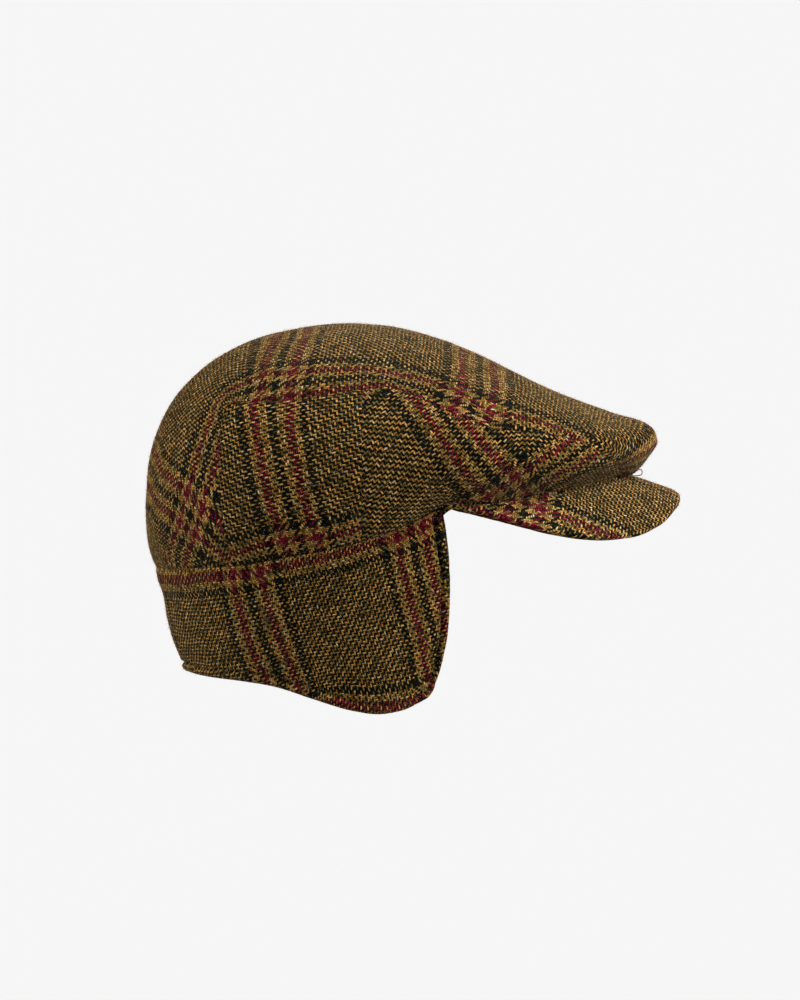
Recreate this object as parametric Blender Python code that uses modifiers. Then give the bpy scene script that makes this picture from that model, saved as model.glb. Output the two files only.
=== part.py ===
"""Driving cap with earflaps: a tweed crown of one long centre panel and two side
panels each side, a short curved peak, and one band that wraps the back of the head
and hangs down as two earflaps.

Frame: metres, +Z up, the wearer looks along -Y, the wearer's right is -X. The origin
is the middle of the head opening, where the cap sits on a head.
All the sizes and tables below are in millimetres.
"""

import math

import bmesh
import bpy
import numpy as np
from mathutils import Vector

MM = 0.001

# ---- driving sizes ----------------------------------------------------------
HEAD_HALF_LENGTH = 97.5      # head opening, outside of the cloth, front to back
HEAD_HALF_WIDTH = 83.0       # head opening, outside of the cloth, side to side
CROWN_HALF_WIDTH = 93.5      # widest of the crown, above the ears
CROWN_BACK_Y = 102.5         # furthest back of the crown
CROWN_NOSE_Y = -154.0        # furthest forward of the crown
CROWN_TOP_Z = 108.0          # crest of the crown
CREST_Y = -3.0               # where the crest is highest
BACK_WIDE_Z = 17.0           # height of the bulge at the back
CROWN_LIP_Y = -144.5         # where the crown's front lip meets the peak
TEMPLE_Y = -47.0             # where band, peak and crown meet
UPRIGHT_SEAM_Y = -6.0        # seam between the two side panels
PEAK_CENTRE_Y = -51.0        # centre of the ellipse that the peak's rim follows
PEAK_HALF_WIDTH = 76.0
PEAK_SQUARENESS = 2.85       # 2 would be an ellipse; more is blunter at the front
PEAK_REACH = 114.5           # from that centre to the peak's tip
CROWN_WALL = 2.0             # tweed with its fusing
BAND_WALL = 2.6              # two layers of tweed
PEAK_WALL = 3.4              # board between two layers of cloth
SEAM_GAP = 0.5               # between neighbouring pieces
SEAM_STEPS = (13, 11, 20, 8)  # faces along the panel seam: back, rear top, front top, tip

# ---- short tables -----------------------------------------------------------
# Crest line of the front half: height of the crown's centre line at each y.
CREST_FRONT = (  # y, z
    (-3.0, 108.0), (-15.0, 107.2), (-30.0, 104.6), (-45.0, 100.3), (-60.0, 94.2),
    (-80.0, 84.6), (-100.0, 75.6), (-120.0, 67.4), (-134.0, 62.6), (-143.0, 60.4),
    (-149.0, 57.8), (-152.6, 54.0), (-154.0, 48.6),
)
# Height at which the crown is widest.
WIDE_LINE = (  # y, z
    (102.5, 17.0), (80.0, 20.0), (55.0, 27.0), (25.0, 36.0), (0.0, 41.0),
    (-40.0, 44.0), (-80.0, 45.5), (-115.0, 46.5), (-140.0, 48.0), (-154.0, 48.6),
)
# Lower edge of the crown from the back to the temple, where the band is sewn on.
BAND_SEAM = (  # y, z
    (102.5, -13.4), (97.5, -13.0), (78.0, -11.3), (58.5, -9.6), (49.5, -8.2),
    (34.0, -5.0), (12.5, -1.0), (-9.0, 4.4), (-20.0, 8.2), (-31.0, 12.8),
    (-39.0, 17.0), (-45.0, 20.4), (-51.0, 23.8),
)
# Seam between the centre panel and the side panels, from the band forward to the
# peak, with the direction in the side view in which the centre panel leaves it.
PANEL_SEAM = (  # y, z, leaves_deg
    (58.5, -9.6, -5.0), (61.0, 2.0, -3.0), (63.0, 13.0, 0.0), (65.0, 33.0, 4.0),
    (65.0, 54.0, 16.0), (63.8, 64.0, 30.0), (60.4, 70.2, 48.0), (54.4, 72.6, 63.0),
    (47.0, 72.9, 74.0), (36.0, 73.4, 82.0), (25.0, 74.8, 87.0), (12.0, 76.4, 90.0),
    (2.5, 78.0, 90.0), (-7.5, 80.0, 90.0), (-19.0, 80.0, 90.0), (-30.5, 77.2, 91.0),
    (-42.0, 72.2, 92.0), (-53.5, 67.0, 94.0), (-67.5, 61.8, 96.0), (-78.0, 59.6, 99.0),
    (-95.0, 58.0, 106.0), (-112.5, 54.0, 121.0), (-124.0, 48.4, 140.0),
    (-131.5, 41.5, 163.0), (-135.5, 32.7, 178.0),
)
CORNER_BACK_Y, CORNER_BACK_Z = 60.4, 70.2      # top back corner of the side panels
CORNER_FRONT_Y, CORNER_FRONT_Z = -124.0, 48.4  # front corner of the side panels
# Peak: centre line, rim height, and how squarely the arch is drawn between them.
PEAK_LINE = (  # y, centre_z, rim_z
    (-45.0, 44.0, 21.6), (-51.0, 50.0, 21.2), (-60.0, 55.8, 19.6), (-70.0, 56.6, 17.4),
    (-87.5, 51.0, 12.4), (-105.0, 45.0, 7.9), (-126.5, 37.4, 5.0), (-140.0, 32.7, 5.8),
    (-154.0, 27.8, 10.6), (-162.5, 24.6, 17.6), (-165.5, 22.4, 22.4),
)
PEAK_ARCH = 2.1              # power of the arch from the centre line to the rim
# Lower edge of the crown's front, where it lies on the peak.
EDGE_ON_PEAK = (  # y, half_width
    (-47.0, 72.7), (-51.0, 71.9), (-57.5, 70.4), (-70.0, 66.2), (-87.5, 59.0),
    (-105.0, 49.9), (-115.0, 42.3), (-125.0, 32.5), (-135.0, 19.0), (-144.5, 0.0),
)
# Underside of the crown's nose, from the lip on the peak to its foremost point.
NOSE_UNDER = (  # y, z
    (-144.5, 32.4), (-146.5, 35.0), (-148.5, 37.9), (-150.5, 41.0), (-152.0, 43.6),
    (-153.3, 46.2), (-154.0, 48.6),
)
# Band: how the oval of the head draws in down the neck.
BAND_OVAL = (  # z, half_length, half_width
    (25.0, 97.5, 83.0), (-13.0, 97.5, 83.2), (-19.0, 96.6, 83.4), (-28.0, 93.6, 83.6),
    (-40.0, 91.2, 83.6), (-50.0, 88.6, 83.2), (-58.0, 85.2, 82.4), (-66.0, 81.6, 81.2),
    (-75.0, 80.0, 79.8), (-90.0, 78.0, 78.0),
)
# Lower edge of the band and flap, from the middle of the neck to the front corner.
HEM = (  # y, z
    (81.5, -65.8), (74.0, -66.4), (58.0, -67.2), (39.5, -69.3), (18.0, -75.5),
    (-0.5, -80.9), (-14.5, -82.9), (-25.5, -81.4), (-34.0, -77.9), (-40.2, -72.0),
)
# Front edge of the flap, from the temple down to that corner.
FLAP_FRONT = (  # y, z
    (-47.0, 20.1), (-46.4, 15.0), (-48.6, 0.0), (-50.4, -17.5), (-50.2, -30.5),
    (-49.4, -42.0), (-47.0, -55.0), (-43.9, -65.5), (-40.2, -72.0),
)


def smooth_table(rows, column=1):
    """A function through one column of a table, by its first column: monotone cubic."""
    data = sorted((row[0], row[column]) for row in rows)
    x = np.array([d[0] for d in data], float)
    y = np.array([d[1] for d in data], float)
    h = np.diff(x)
    s = np.diff(y) / h
    m = np.zeros(len(x))
    m[0], m[-1] = s[0], s[-1]
    for i in range(1, len(x) - 1):
        if s[i - 1] * s[i] > 0:
            w1, w2 = 2 * h[i] + h[i - 1], h[i] + 2 * h[i - 1]
            m[i] = (w1 + w2) / (w1 / s[i - 1] + w2 / s[i])

    def read(at):
        at = min(max(at, x[0]), x[-1])
        i = min(max(int(np.searchsorted(x, at)) - 1, 0), len(h) - 1)
        t = (at - x[i]) / h[i]
        return float(
            (1 + 2 * t) * (1 - t) ** 2 * y[i]
            + t * (1 - t) ** 2 * h[i] * m[i]
            + t * t * (3 - 2 * t) * y[i + 1]
            + t * t * (t - 1) * h[i] * m[i + 1]
        )

    return read


def smooth_path(rows):
    """A function of 0..1 along a smooth curve through the rows of a table."""
    points = np.array(rows, float)
    chord = np.hypot(np.diff(points[:, 0]), np.diff(points[:, 1]))
    knots = np.concatenate([[0.0], np.cumsum(chord)])
    readers = [smooth_table([(k, p) for k, p in zip(knots, points[:, c])])
               for c in range(points.shape[1])]
    total = knots[-1]

    def read(t):
        return np.array([reader(t * total) for reader in readers])

    read.knots = knots / total
    return read


crest_front = smooth_table(CREST_FRONT)
wide_line = smooth_table(WIDE_LINE)
band_seam = smooth_table(BAND_SEAM)
peak_centre = smooth_table(PEAK_LINE, 1)
peak_rim = smooth_table(PEAK_LINE, 2)
edge_on_peak = smooth_table([(y, half * half) for y, half in EDGE_ON_PEAK])
nose_under = smooth_table(NOSE_UNDER)
oval_length = smooth_table(BAND_OVAL, 1)
oval_width = smooth_table(BAND_OVAL, 2)
panel_seam = smooth_path(PANEL_SEAM)
hem_height = smooth_table(HEM)
front_path = smooth_path(FLAP_FRONT)


def crest(y):
    """Height of the crown's centre line."""
    if y < CREST_Y:
        return crest_front(y)
    share = min((y - CREST_Y) / (CROWN_BACK_Y - CREST_Y), 1.0)
    return BACK_WIDE_Z + (CROWN_TOP_Z - BACK_WIDE_Z) * (1 - share**2.3) ** (1 / 2.3)


def half_width(y):
    """Half the crown's width at y, where it is widest: an egg, blunt at the nose."""
    if y > 0:
        return CROWN_HALF_WIDTH * max(1 - (y / CROWN_BACK_Y) ** 2.1, 0.0) ** (1 / 2.1)
    return CROWN_HALF_WIDTH * max(1 - (y / CROWN_NOSE_Y) ** 2.8, 0.0) ** (1 / 2.2)


def rim_half_width(y):
    """Half the peak's width at y."""
    share = min(max((PEAK_CENTRE_Y - y) / PEAK_REACH, 0.0), 1.0)
    return PEAK_HALF_WIDTH * (1 - share**PEAK_SQUARENESS) ** (1 / PEAK_SQUARENESS)


def peak_top(x, y):
    """Height of the peak's upper face: an arch from the rim on one side to the other."""
    y = min(y, -45.0)
    wide = max(rim_half_width(y), 1e-6)
    drop = peak_centre(y) - peak_rim(y)
    return peak_centre(y) - drop * min(abs(x) / wide, 1.0) ** PEAK_ARCH


def edge_square(y):
    """Squared half width of the crown's lower edge: the head's oval behind the temple,
    the line where it lies on the peak before it. Below zero behind the oval."""
    if y > TEMPLE_Y:
        return HEAD_HALF_WIDTH**2 * (1 - (y / HEAD_HALF_LENGTH) ** 2)
    return edge_on_peak(y)


def edge_height(y):
    """Height of the crown's lower edge."""
    if y > PEAK_CENTRE_Y + 0.5:
        return band_seam(y)
    if y < CROWN_LIP_Y:
        return nose_under(y)
    lift = 0.8 * max(1 - (PEAK_CENTRE_Y - y) / 16.0, 0.0)
    return peak_top(math.sqrt(max(edge_square(y), 0.0)), y) + SEAM_GAP + lift


def crown_square(y, z):
    """Squared half width of the crown at a point of its side view, below zero outside."""
    wide, level = half_width(y), wide_line(y)
    if z >= level:
        rise = max(crest(y) - level, 1e-6)
        share = (z - level) / rise
        if share > 1:
            return wide * wide * (1 - share) - 1e-3
        return (wide * max(1 - share**2.2, 0.0) ** (1 / 2.2)) ** 2
    share = (level - z) / max(level - edge_height(y), 1e-6)
    return wide * wide - (wide * wide - edge_square(y)) * share * share


def crown_point(y, z):
    return np.array([math.sqrt(max(crown_square(y, z), 0.0)), y, z])


def outline_from(y, z, degrees):
    """Where a ray in the side view, from a point inside the crown, leaves its outline."""
    dy, dz = math.cos(math.radians(degrees)), math.sin(math.radians(degrees))
    low, high = 0.0, 60.0
    for _ in range(50):
        mid = (low + high) / 2
        if crown_square(y + dy * mid, z + dz * mid) > 0:
            low = mid
        else:
            high = mid
    return y + dy * low, z + dz * low


# ---- surfaces ---------------------------------------------------------------
def top_grid(across):
    """Half of the centre panel: rows from the band forward to the peak, each from the
    centre line out to the panel seam, at the same places as the side panels' edges."""
    grid = []
    shares = seam_stations()
    along = len(shares) - 1
    for i, station in enumerate(shares):
        y, z, degrees = panel_seam(station)
        if i == along:
            cy, cz = CROWN_LIP_Y, edge_height(CROWN_LIP_Y)
            z = edge_height(y)
        elif i == 0:
            cy, cz = HEAD_HALF_LENGTH, edge_height(HEAD_HALF_LENGTH)
            z = edge_height(y)
        else:
            cy, cz = outline_from(y, z, degrees)
        row = []
        for j in range(across + 1):
            share = (j / across) ** 2
            py, pz = cy + (y - cy) * share, cz + (z - cz) * share
            if i in (0, along):
                pz = edge_height(py)
            point = crown_point(py, pz)
            if j == 0:
                point[0] = 0.0
            row.append(point)
        grid.append(row)
    return grid


def seam_part(start, stop):
    """The panel seam between two shares of its length, as a function of 0..1."""
    return lambda t: panel_seam(start + (stop - start) * t)[:2]


def share_at(y, z):
    """The share of the panel seam's length nearest a point of the side view."""
    shares = np.linspace(0, 1, 2001)
    return min(shares, key=lambda s: (panel_seam(s)[0] - y) ** 2 + (panel_seam(s)[1] - z) ** 2)


def patch(bottom, top, back, front, along, up, place):
    """A four-sided piece blended from its edges in a flat map, then placed in space."""
    grid = []
    for i in range(along + 1):
        s = i / along
        row = []
        for j in range(up + 1):
            t = j / up
            flat = (
                (1 - t) * bottom(s) + t * top(s) + (1 - s) * back(t) + s * front(t)
                - (1 - s) * (1 - t) * bottom(0.0) - s * (1 - t) * bottom(1.0)
                - (1 - s) * t * top(0.0) - s * t * top(1.0)
            )
            row.append(place(*flat))
        grid.append(row)
    return grid


BACK_SHARE = share_at(CORNER_BACK_Y, CORNER_BACK_Z)
UPRIGHT_SHARE = share_at(UPRIGHT_SEAM_Y, 80.0)
FRONT_SHARE = share_at(CORNER_FRONT_Y, CORNER_FRONT_Z)


def seam_stations():
    """Shares of the panel seam where the meshes on both sides of it have a point."""
    ends = (0.0, BACK_SHARE, UPRIGHT_SHARE, FRONT_SHARE, 1.0)
    found = [0.0]
    for start, stop, steps in zip(ends, ends[1:], SEAM_STEPS):
        found += [start + (stop - start) * (k + 1) / steps for k in range(steps)]
    return found


def lower_edge(y_back, y_front):
    def read(t):
        y = y_back + (y_front - y_back) * t
        return np.array([y, edge_height(y)])
    return read


def straight(a, b):
    return lambda t: a + (b - a) * t


def side_rear_grid(along, up):
    gap = SEAM_GAP
    y_back = PANEL_SEAM[0][0] - gap
    y_front = UPRIGHT_SEAM_Y + gap / 2
    bottom = lower_edge(y_back, y_front)
    top_raw = seam_part(BACK_SHARE, UPRIGHT_SHARE)

    def top(t):
        return top_raw(t) + np.array([gap * (1.5 * t - 1.0), -gap])

    back_raw = seam_part(0.0, BACK_SHARE)

    def back(t):
        point = back_raw(t) - np.array([gap, 0.0])
        mend_low, mend_high = bottom(0.0) - (back_raw(0.0) - [gap, 0]), top(0.0) - (back_raw(1.0) - [gap, 0])
        return point + mend_low * (1 - t) + mend_high * t

    front = straight(bottom(1.0), top(1.0))
    return patch(bottom, top, back, front, along, up, crown_point)


def side_front_grid(along, up):
    gap = SEAM_GAP
    y_back = UPRIGHT_SEAM_Y - gap / 2
    y_front = PANEL_SEAM[-1][0] + gap
    bottom = lower_edge(y_back, y_front)
    top_raw = seam_part(UPRIGHT_SHARE, FRONT_SHARE)

    def top(t):
        return top_raw(t) + np.array([gap * (1.5 * t - 0.5), -gap])

    front_raw = seam_part(1.0, FRONT_SHARE)

    def front(t):
        point = front_raw(t) + np.array([gap, 0.0])
        mend_low, mend_high = bottom(1.0) - (front_raw(0.0) + [gap, 0]), top(1.0) - (front_raw(1.0) + [gap, 0])
        return point + mend_low * (1 - t) + mend_high * t

    back = straight(bottom(0.0), top(0.0))
    return patch(bottom, top, back, front, along, up, crown_point)


def band_place(turn, z):
    """A point of the band: turn is the angle round the head from the middle of the neck."""
    return np.array([oval_width(z) * math.sin(turn), oval_length(z) * math.cos(turn), z])


def turn_of(y, z):
    return math.acos(min(max(y / oval_length(z), -1.0), 1.0))


def band_grid(along, up):
    """Half of the band: from the middle of the neck round to the front of the flap."""
    last_turn = turn_of(TEMPLE_Y, FLAP_FRONT[0][1])
    last_low = turn_of(*HEM[-1])

    def top(s):
        turn = last_turn * s
        z = edge_height(HEAD_HALF_LENGTH * math.cos(turn)) - SEAM_GAP
        return np.array([turn, z])

    def bottom(s):
        turn = last_low * s
        y = HEM[0][0]
        for _ in range(20):
            y = oval_length(hem_height(y)) * math.cos(turn)
        return np.array([turn, hem_height(y)])

    def back(t):
        return bottom(0.0) * (1 - t) + top(0.0) * t

    def front(t):
        y, z = front_path(1 - t)
        point = np.array([turn_of(y, z), z])
        first, last = front_path(1.0), front_path(0.0)
        mend_low = bottom(1.0) - np.array([turn_of(*first), first[1]])
        mend_high = top(1.0) - np.array([turn_of(*last), last[1]])
        return point + mend_low * (1 - t) + mend_high * t

    return patch(bottom, top, back, front, along, up, band_place)


def peak_grid(along, across):
    """Half of the peak's upper face: from its middle out to the temple, rear edge to rim."""
    last = math.acos(PEAK_CENTRE_Y / -HEAD_HALF_LENGTH)
    grid = []
    for i in range(along + 1):
        a = i / along
        rear = np.array([HEAD_HALF_WIDTH * math.sin(last * a), -HEAD_HALF_LENGTH * math.cos(last * a)])
        rim_turn = math.pi / 2 * a
        power = 2 / PEAK_SQUARENESS
        rim = np.array([
            PEAK_HALF_WIDTH * abs(math.sin(rim_turn)) ** power,
            PEAK_CENTRE_Y - PEAK_REACH * abs(math.cos(rim_turn)) ** power,
        ])
        if i == along:
            rim[1] -= 0.01
        row = []
        for j in range(across + 1):
            b = j / across
            x, y = rear + (rim - rear) * b
            row.append(np.array([x if i else 0.0, y, peak_top(x, y)]))
        grid.append(row)
    return grid


# ---- objects ----------------------------------------------------------------
def material(name, colour, roughness):
    made = bpy.data.materials.new(name)
    made.use_nodes = True
    shader = made.node_tree.nodes["Principled BSDF"]
    shader.inputs["Base Color"].default_value = (*colour, 1.0)
    shader.inputs["Roughness"].default_value = roughness
    shader.inputs["Metallic"].default_value = 0.0
    return made


def sheet(name, grid, side, collection, surface, inside):
    """An open mesh over a grid of points, with its faces turned away from `inside`,
    which gives, for a point, one that lies behind the surface there."""
    mesh = bpy.data.meshes.new(name)
    shape = bmesh.new()
    verts = [[shape.verts.new((side * p[0] * MM, p[1] * MM, p[2] * MM)) for p in row] for row in grid]
    for i in range(len(grid) - 1):
        for j in range(len(grid[0]) - 1):
            shape.faces.new((verts[i][j], verts[i + 1][j], verts[i + 1][j + 1], verts[i][j + 1]))
    shape.normal_update()
    outward = 0.0
    for face in shape.faces:
        away = face.calc_center_median() - inside(face.calc_center_median())
        outward += face.normal.dot(away) * face.calc_area()
    if outward < 0:
        bmesh.ops.reverse_faces(shape, faces=shape.faces)
    shape.to_mesh(mesh)
    shape.free()
    mesh.shade_smooth()
    made = bpy.data.objects.new(name, mesh)
    mesh.materials.append(surface)
    collection.objects.link(made)
    return made


def mirrored(made):
    """The other half, joined on the middle plane."""
    mirror = made.modifiers.new("Both halves", "MIRROR")
    mirror.use_axis = (True, False, False)
    mirror.use_mirror_merge = True
    mirror.merge_threshold = 0.00005


def walled(made, thickness):
    """Gives the open surface its thickness, inward."""
    wall = made.modifiers.new("Wall", "SOLIDIFY")
    wall.thickness = thickness * MM
    wall.offset = -1.0


for old in list(bpy.data.objects):
    bpy.data.objects.remove(old, do_unlink=True)

cap = bpy.data.collections.new("driving_cap_with_earflaps")
bpy.context.scene.collection.children.link(cap)

crown_cloth = material("crown_cloth", (0.115, 0.085, 0.045), 0.92)
side_cloth = material("side_cloth", (0.105, 0.078, 0.042), 0.92)
peak_cloth = material("peak_cloth", (0.110, 0.082, 0.045), 0.92)
band_cloth = material("band_cloth", (0.100, 0.076, 0.042), 0.92)



def inside_crown(point):
    return Vector((0.0, point.y * 0.4, 0.0))


def inside_band(point):
    return Vector((0.0, 0.0, point.z))


def below(point):
    return point - Vector((0.0, 0.0, 1.0))


crown_top = sheet("crown_top", top_grid(7), -1, cap, crown_cloth, inside_crown)
mirrored(crown_top)
walled(crown_top, CROWN_WALL)

for side, word in ((-1, "right"), (1, "left")):
    rear = sheet("side_rear_" + word, side_rear_grid(SEAM_STEPS[1], SEAM_STEPS[0]), side, cap, side_cloth, inside_crown)
    walled(rear, CROWN_WALL)
    fore = sheet("side_front_" + word, side_front_grid(SEAM_STEPS[2], SEAM_STEPS[3]), side, cap, side_cloth, inside_crown)
    walled(fore, CROWN_WALL)

peak = sheet("peak", peak_grid(15, 6), -1, cap, peak_cloth, below)
mirrored(peak)
walled(peak, PEAK_WALL)

flap_band = sheet("flap_band", band_grid(24, 12), -1, cap, band_cloth, inside_band)
mirrored(flap_band)
walled(flap_band, BAND_WALL)
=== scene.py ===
"""The looks of the driving cap with earflaps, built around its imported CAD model.

Every piece is a sewn panel of tweed: an outer and an inner face, a real wall between
them and edges that roll into their seams. The same formulas as the CAD give the
shapes, on a finer net. A small solver then lays the cloth on each panel, nearly
without stretch, with its stripes where the real cap has them, and the node materials
weave it thread by thread from those cloth coordinates.
"""

import math

import bpy
import numpy as np
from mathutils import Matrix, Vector, noise


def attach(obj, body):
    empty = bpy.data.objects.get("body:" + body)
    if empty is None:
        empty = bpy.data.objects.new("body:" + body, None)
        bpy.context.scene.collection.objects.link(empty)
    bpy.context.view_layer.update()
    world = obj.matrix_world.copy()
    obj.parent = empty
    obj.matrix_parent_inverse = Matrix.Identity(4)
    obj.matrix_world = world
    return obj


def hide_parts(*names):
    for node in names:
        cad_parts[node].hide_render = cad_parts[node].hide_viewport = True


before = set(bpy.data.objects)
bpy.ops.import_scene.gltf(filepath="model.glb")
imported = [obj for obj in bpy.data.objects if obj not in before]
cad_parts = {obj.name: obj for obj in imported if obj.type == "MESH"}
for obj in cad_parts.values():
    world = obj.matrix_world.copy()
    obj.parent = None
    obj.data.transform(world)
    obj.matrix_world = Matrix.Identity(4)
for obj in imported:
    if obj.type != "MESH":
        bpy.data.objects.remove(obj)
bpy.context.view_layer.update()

MM = 0.001

# ---- driving sizes ----------------------------------------------------------
HEAD_HALF_LENGTH = 97.5      # head opening, outside of the cloth, front to back
HEAD_HALF_WIDTH = 83.0       # head opening, outside of the cloth, side to side
CROWN_HALF_WIDTH = 93.5      # widest of the crown, above the ears
CROWN_BACK_Y = 102.5         # furthest back of the crown
CROWN_NOSE_Y = -154.0        # furthest forward of the crown
CROWN_TOP_Z = 108.0          # crest of the crown
CREST_Y = -3.0               # where the crest is highest
BACK_WIDE_Z = 17.0           # height of the bulge at the back
CROWN_LIP_Y = -141.0         # where the crown's front lip meets the peak
TEMPLE_Y = -47.0             # where band, peak and crown meet
UPRIGHT_SEAM_Y = -6.0        # seam between the two side panels
PEAK_CENTRE_Y = -51.0        # centre of the ellipse that the peak's rim follows
PEAK_HALF_WIDTH = 76.0
PEAK_SQUARENESS = 2.85       # 2 would be an ellipse; more is blunter at the front
PEAK_REACH = 114.5           # from that centre to the peak's tip
CROWN_WALL = 2.0             # tweed with its fusing
BAND_WALL = 2.6              # two layers of tweed
PEAK_WALL = 3.4              # board between two layers of cloth
SEAM_GAP = 0.1               # between neighbouring pieces: sewn, so they nearly touch

# ---- short tables -----------------------------------------------------------
# Crest line of the front half: height of the crown's centre line at each y.
CREST_FRONT = (  # y, z
    (-3.0, 108.0), (-15.0, 107.2), (-30.0, 104.6), (-45.0, 100.3), (-60.0, 94.2),
    (-80.0, 84.6), (-100.0, 75.6), (-120.0, 67.4), (-134.0, 62.6), (-143.0, 60.4),
    (-149.0, 57.8), (-152.6, 54.0), (-154.0, 48.6),
)
# Height at which the crown is widest.
WIDE_LINE = (  # y, z
    (102.5, 17.0), (80.0, 20.0), (55.0, 27.0), (25.0, 36.0), (0.0, 41.0),
    (-40.0, 44.0), (-80.0, 45.5), (-115.0, 46.5), (-140.0, 48.0), (-154.0, 48.6),
)
# Lower edge of the crown from the back to the temple, where the band is sewn on.
BAND_SEAM = (  # y, z
    (102.5, -13.4), (97.5, -13.0), (78.0, -11.3), (58.5, -9.6), (49.5, -8.2),
    (34.0, -5.0), (12.5, -1.0), (-9.0, 4.4), (-20.0, 8.2), (-31.0, 12.8),
    (-39.0, 16.8), (-45.0, 19.5), (-51.0, 21.7),
)
# Seam between the centre panel and the side panels, from the band forward to the
# peak, with the direction in the side view in which the centre panel leaves it.
PANEL_SEAM = (  # y, z, leaves_deg
    (58.5, -9.6, -5.0), (61.0, 2.0, -3.0), (63.0, 13.0, 0.0), (65.0, 33.0, 4.0),
    (65.0, 54.0, 16.0), (63.8, 64.0, 30.0), (60.4, 70.2, 48.0), (54.4, 72.6, 63.0),
    (47.0, 72.9, 74.0), (36.0, 73.4, 82.0), (25.0, 74.8, 87.0), (12.0, 76.4, 90.0),
    (2.5, 78.0, 90.0), (-7.5, 80.0, 90.0), (-19.0, 80.0, 90.0), (-30.5, 77.2, 91.0),
    (-42.0, 72.2, 92.0), (-53.5, 67.0, 94.0), (-67.5, 61.8, 96.0), (-78.0, 59.6, 99.0),
    (-95.0, 58.0, 106.0), (-112.5, 54.0, 121.0), (-124.0, 48.4, 140.0),
    (-131.5, 41.5, 163.0), (-135.5, 32.7, 178.0),
)
CORNER_BACK_Y, CORNER_BACK_Z = 60.4, 70.2      # top back corner of the side panels
CORNER_FRONT_Y, CORNER_FRONT_Z = -124.0, 48.4  # front corner of the side panels
# Peak: centre line, rim height, and how squarely the arch is drawn between them.
PEAK_LINE = (  # y, centre_z, rim_z
    (-45.0, 44.0, 23.0), (-51.0, 50.0, 22.4), (-60.0, 55.8, 20.1), (-70.0, 56.6, 17.4),
    (-87.5, 51.0, 12.4), (-105.0, 45.0, 7.9), (-126.5, 37.4, 5.0), (-140.0, 32.7, 5.8),
    (-154.0, 27.8, 10.6), (-162.5, 24.6, 17.6), (-165.5, 22.4, 22.4),
)
PEAK_ARCH = 2.1              # power of the arch from the centre line to the rim
# Lower edge of the crown's front, where it lies on the peak.
EDGE_ON_PEAK = (  # y, half_width
    (-47.0, 72.9), (-51.0, 73.6), (-57.5, 73.0), (-63.0, 71.8), (-70.0, 69.6), (-77.5, 66.6),
    (-87.5, 61.0), (-105.0, 50.4), (-115.0, 42.5), (-125.0, 31.5), (-134.0, 18.0), (-141.0, 0.0),
)
# Underside of the crown's nose, from the lip on the peak to its foremost point.
NOSE_UNDER = (  # y, z
    (-141.0, 33.2), (-143.0, 34.3), (-145.4, 36.2), (-147.4, 38.6), (-149.3, 41.2),
    (-151.0, 43.8), (-152.7, 46.3), (-154.0, 48.6),
)
# Thread that tacks the crown down to the peak: it stands out as a small loop.
TACK_LOOP = (  # x, y, z
    (-6.5, -138.5, 34.2), (-6.4, -140.5, 34.8), (-6.2, -142.8, 35.2), (-6.0, -144.9, 35.6),
    (-5.9, -145.8, 35.2), (-5.8, -146.0, 34.0), (-5.8, -145.5, 32.9), (-5.9, -143.6, 32.5),
    (-6.1, -141.2, 32.4), (-6.3, -138.8, 32.2),
)
# Band: how the oval of the head draws in down the neck.
BAND_OVAL = (  # z, half_length, half_width
    (25.0, 97.5, 83.0), (-13.0, 97.5, 83.2), (-19.0, 96.6, 83.4), (-28.0, 93.6, 83.6),
    (-40.0, 91.2, 83.6), (-50.0, 88.6, 83.2), (-58.0, 85.2, 82.4), (-66.0, 81.6, 81.2),
    (-75.0, 80.0, 79.8), (-90.0, 78.0, 78.0),
)
# Lower edge of the band and flap, from the middle of the neck to the front corner.
HEM = (  # y, z
    (81.5, -65.8), (74.0, -66.4), (58.0, -67.2), (39.5, -69.3), (18.0, -75.5),
    (-0.5, -80.9), (-14.5, -82.9), (-25.5, -81.4), (-34.0, -77.9), (-40.2, -72.0),
)
# Front edge of the flap, from the temple down to that corner.
FLAP_FRONT = (  # y, z
    (-54.0, 21.8), (-50.4, 19.6), (-47.6, 17.3), (-46.6, 14.0), (-48.6, 0.0), (-50.4, -17.5),
    (-50.2, -30.5), (-49.4, -42.0), (-47.0, -55.0), (-43.9, -65.5), (-40.2, -72.0),
)


def smooth_table(rows, column=1):
    """A function through one column of a table, by its first column: monotone cubic."""
    data = sorted((row[0], row[column]) for row in rows)
    x = np.array([d[0] for d in data], float)
    y = np.array([d[1] for d in data], float)
    h = np.diff(x)
    s = np.diff(y) / h
    m = np.zeros(len(x))
    m[0], m[-1] = s[0], s[-1]
    for i in range(1, len(x) - 1):
        if s[i - 1] * s[i] > 0:
            w1, w2 = 2 * h[i] + h[i - 1], h[i] + 2 * h[i - 1]
            m[i] = (w1 + w2) / (w1 / s[i - 1] + w2 / s[i])

    def read(at):
        at = min(max(at, x[0]), x[-1])
        i = min(max(int(np.searchsorted(x, at)) - 1, 0), len(h) - 1)
        t = (at - x[i]) / h[i]
        return float(
            (1 + 2 * t) * (1 - t) ** 2 * y[i]
            + t * (1 - t) ** 2 * h[i] * m[i]
            + t * t * (3 - 2 * t) * y[i + 1]
            + t * t * (t - 1) * h[i] * m[i + 1]
        )

    return read


def smooth_path(rows):
    """A function of 0..1 along a smooth curve through the rows of a table."""
    points = np.array(rows, float)
    chord = np.hypot(np.diff(points[:, 0]), np.diff(points[:, 1]))
    knots = np.concatenate([[0.0], np.cumsum(chord)])
    readers = [smooth_table([(k, p) for k, p in zip(knots, points[:, c])])
               for c in range(points.shape[1])]
    total = knots[-1]

    def read(t):
        return np.array([reader(t * total) for reader in readers])

    read.knots = knots / total
    return read


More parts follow.
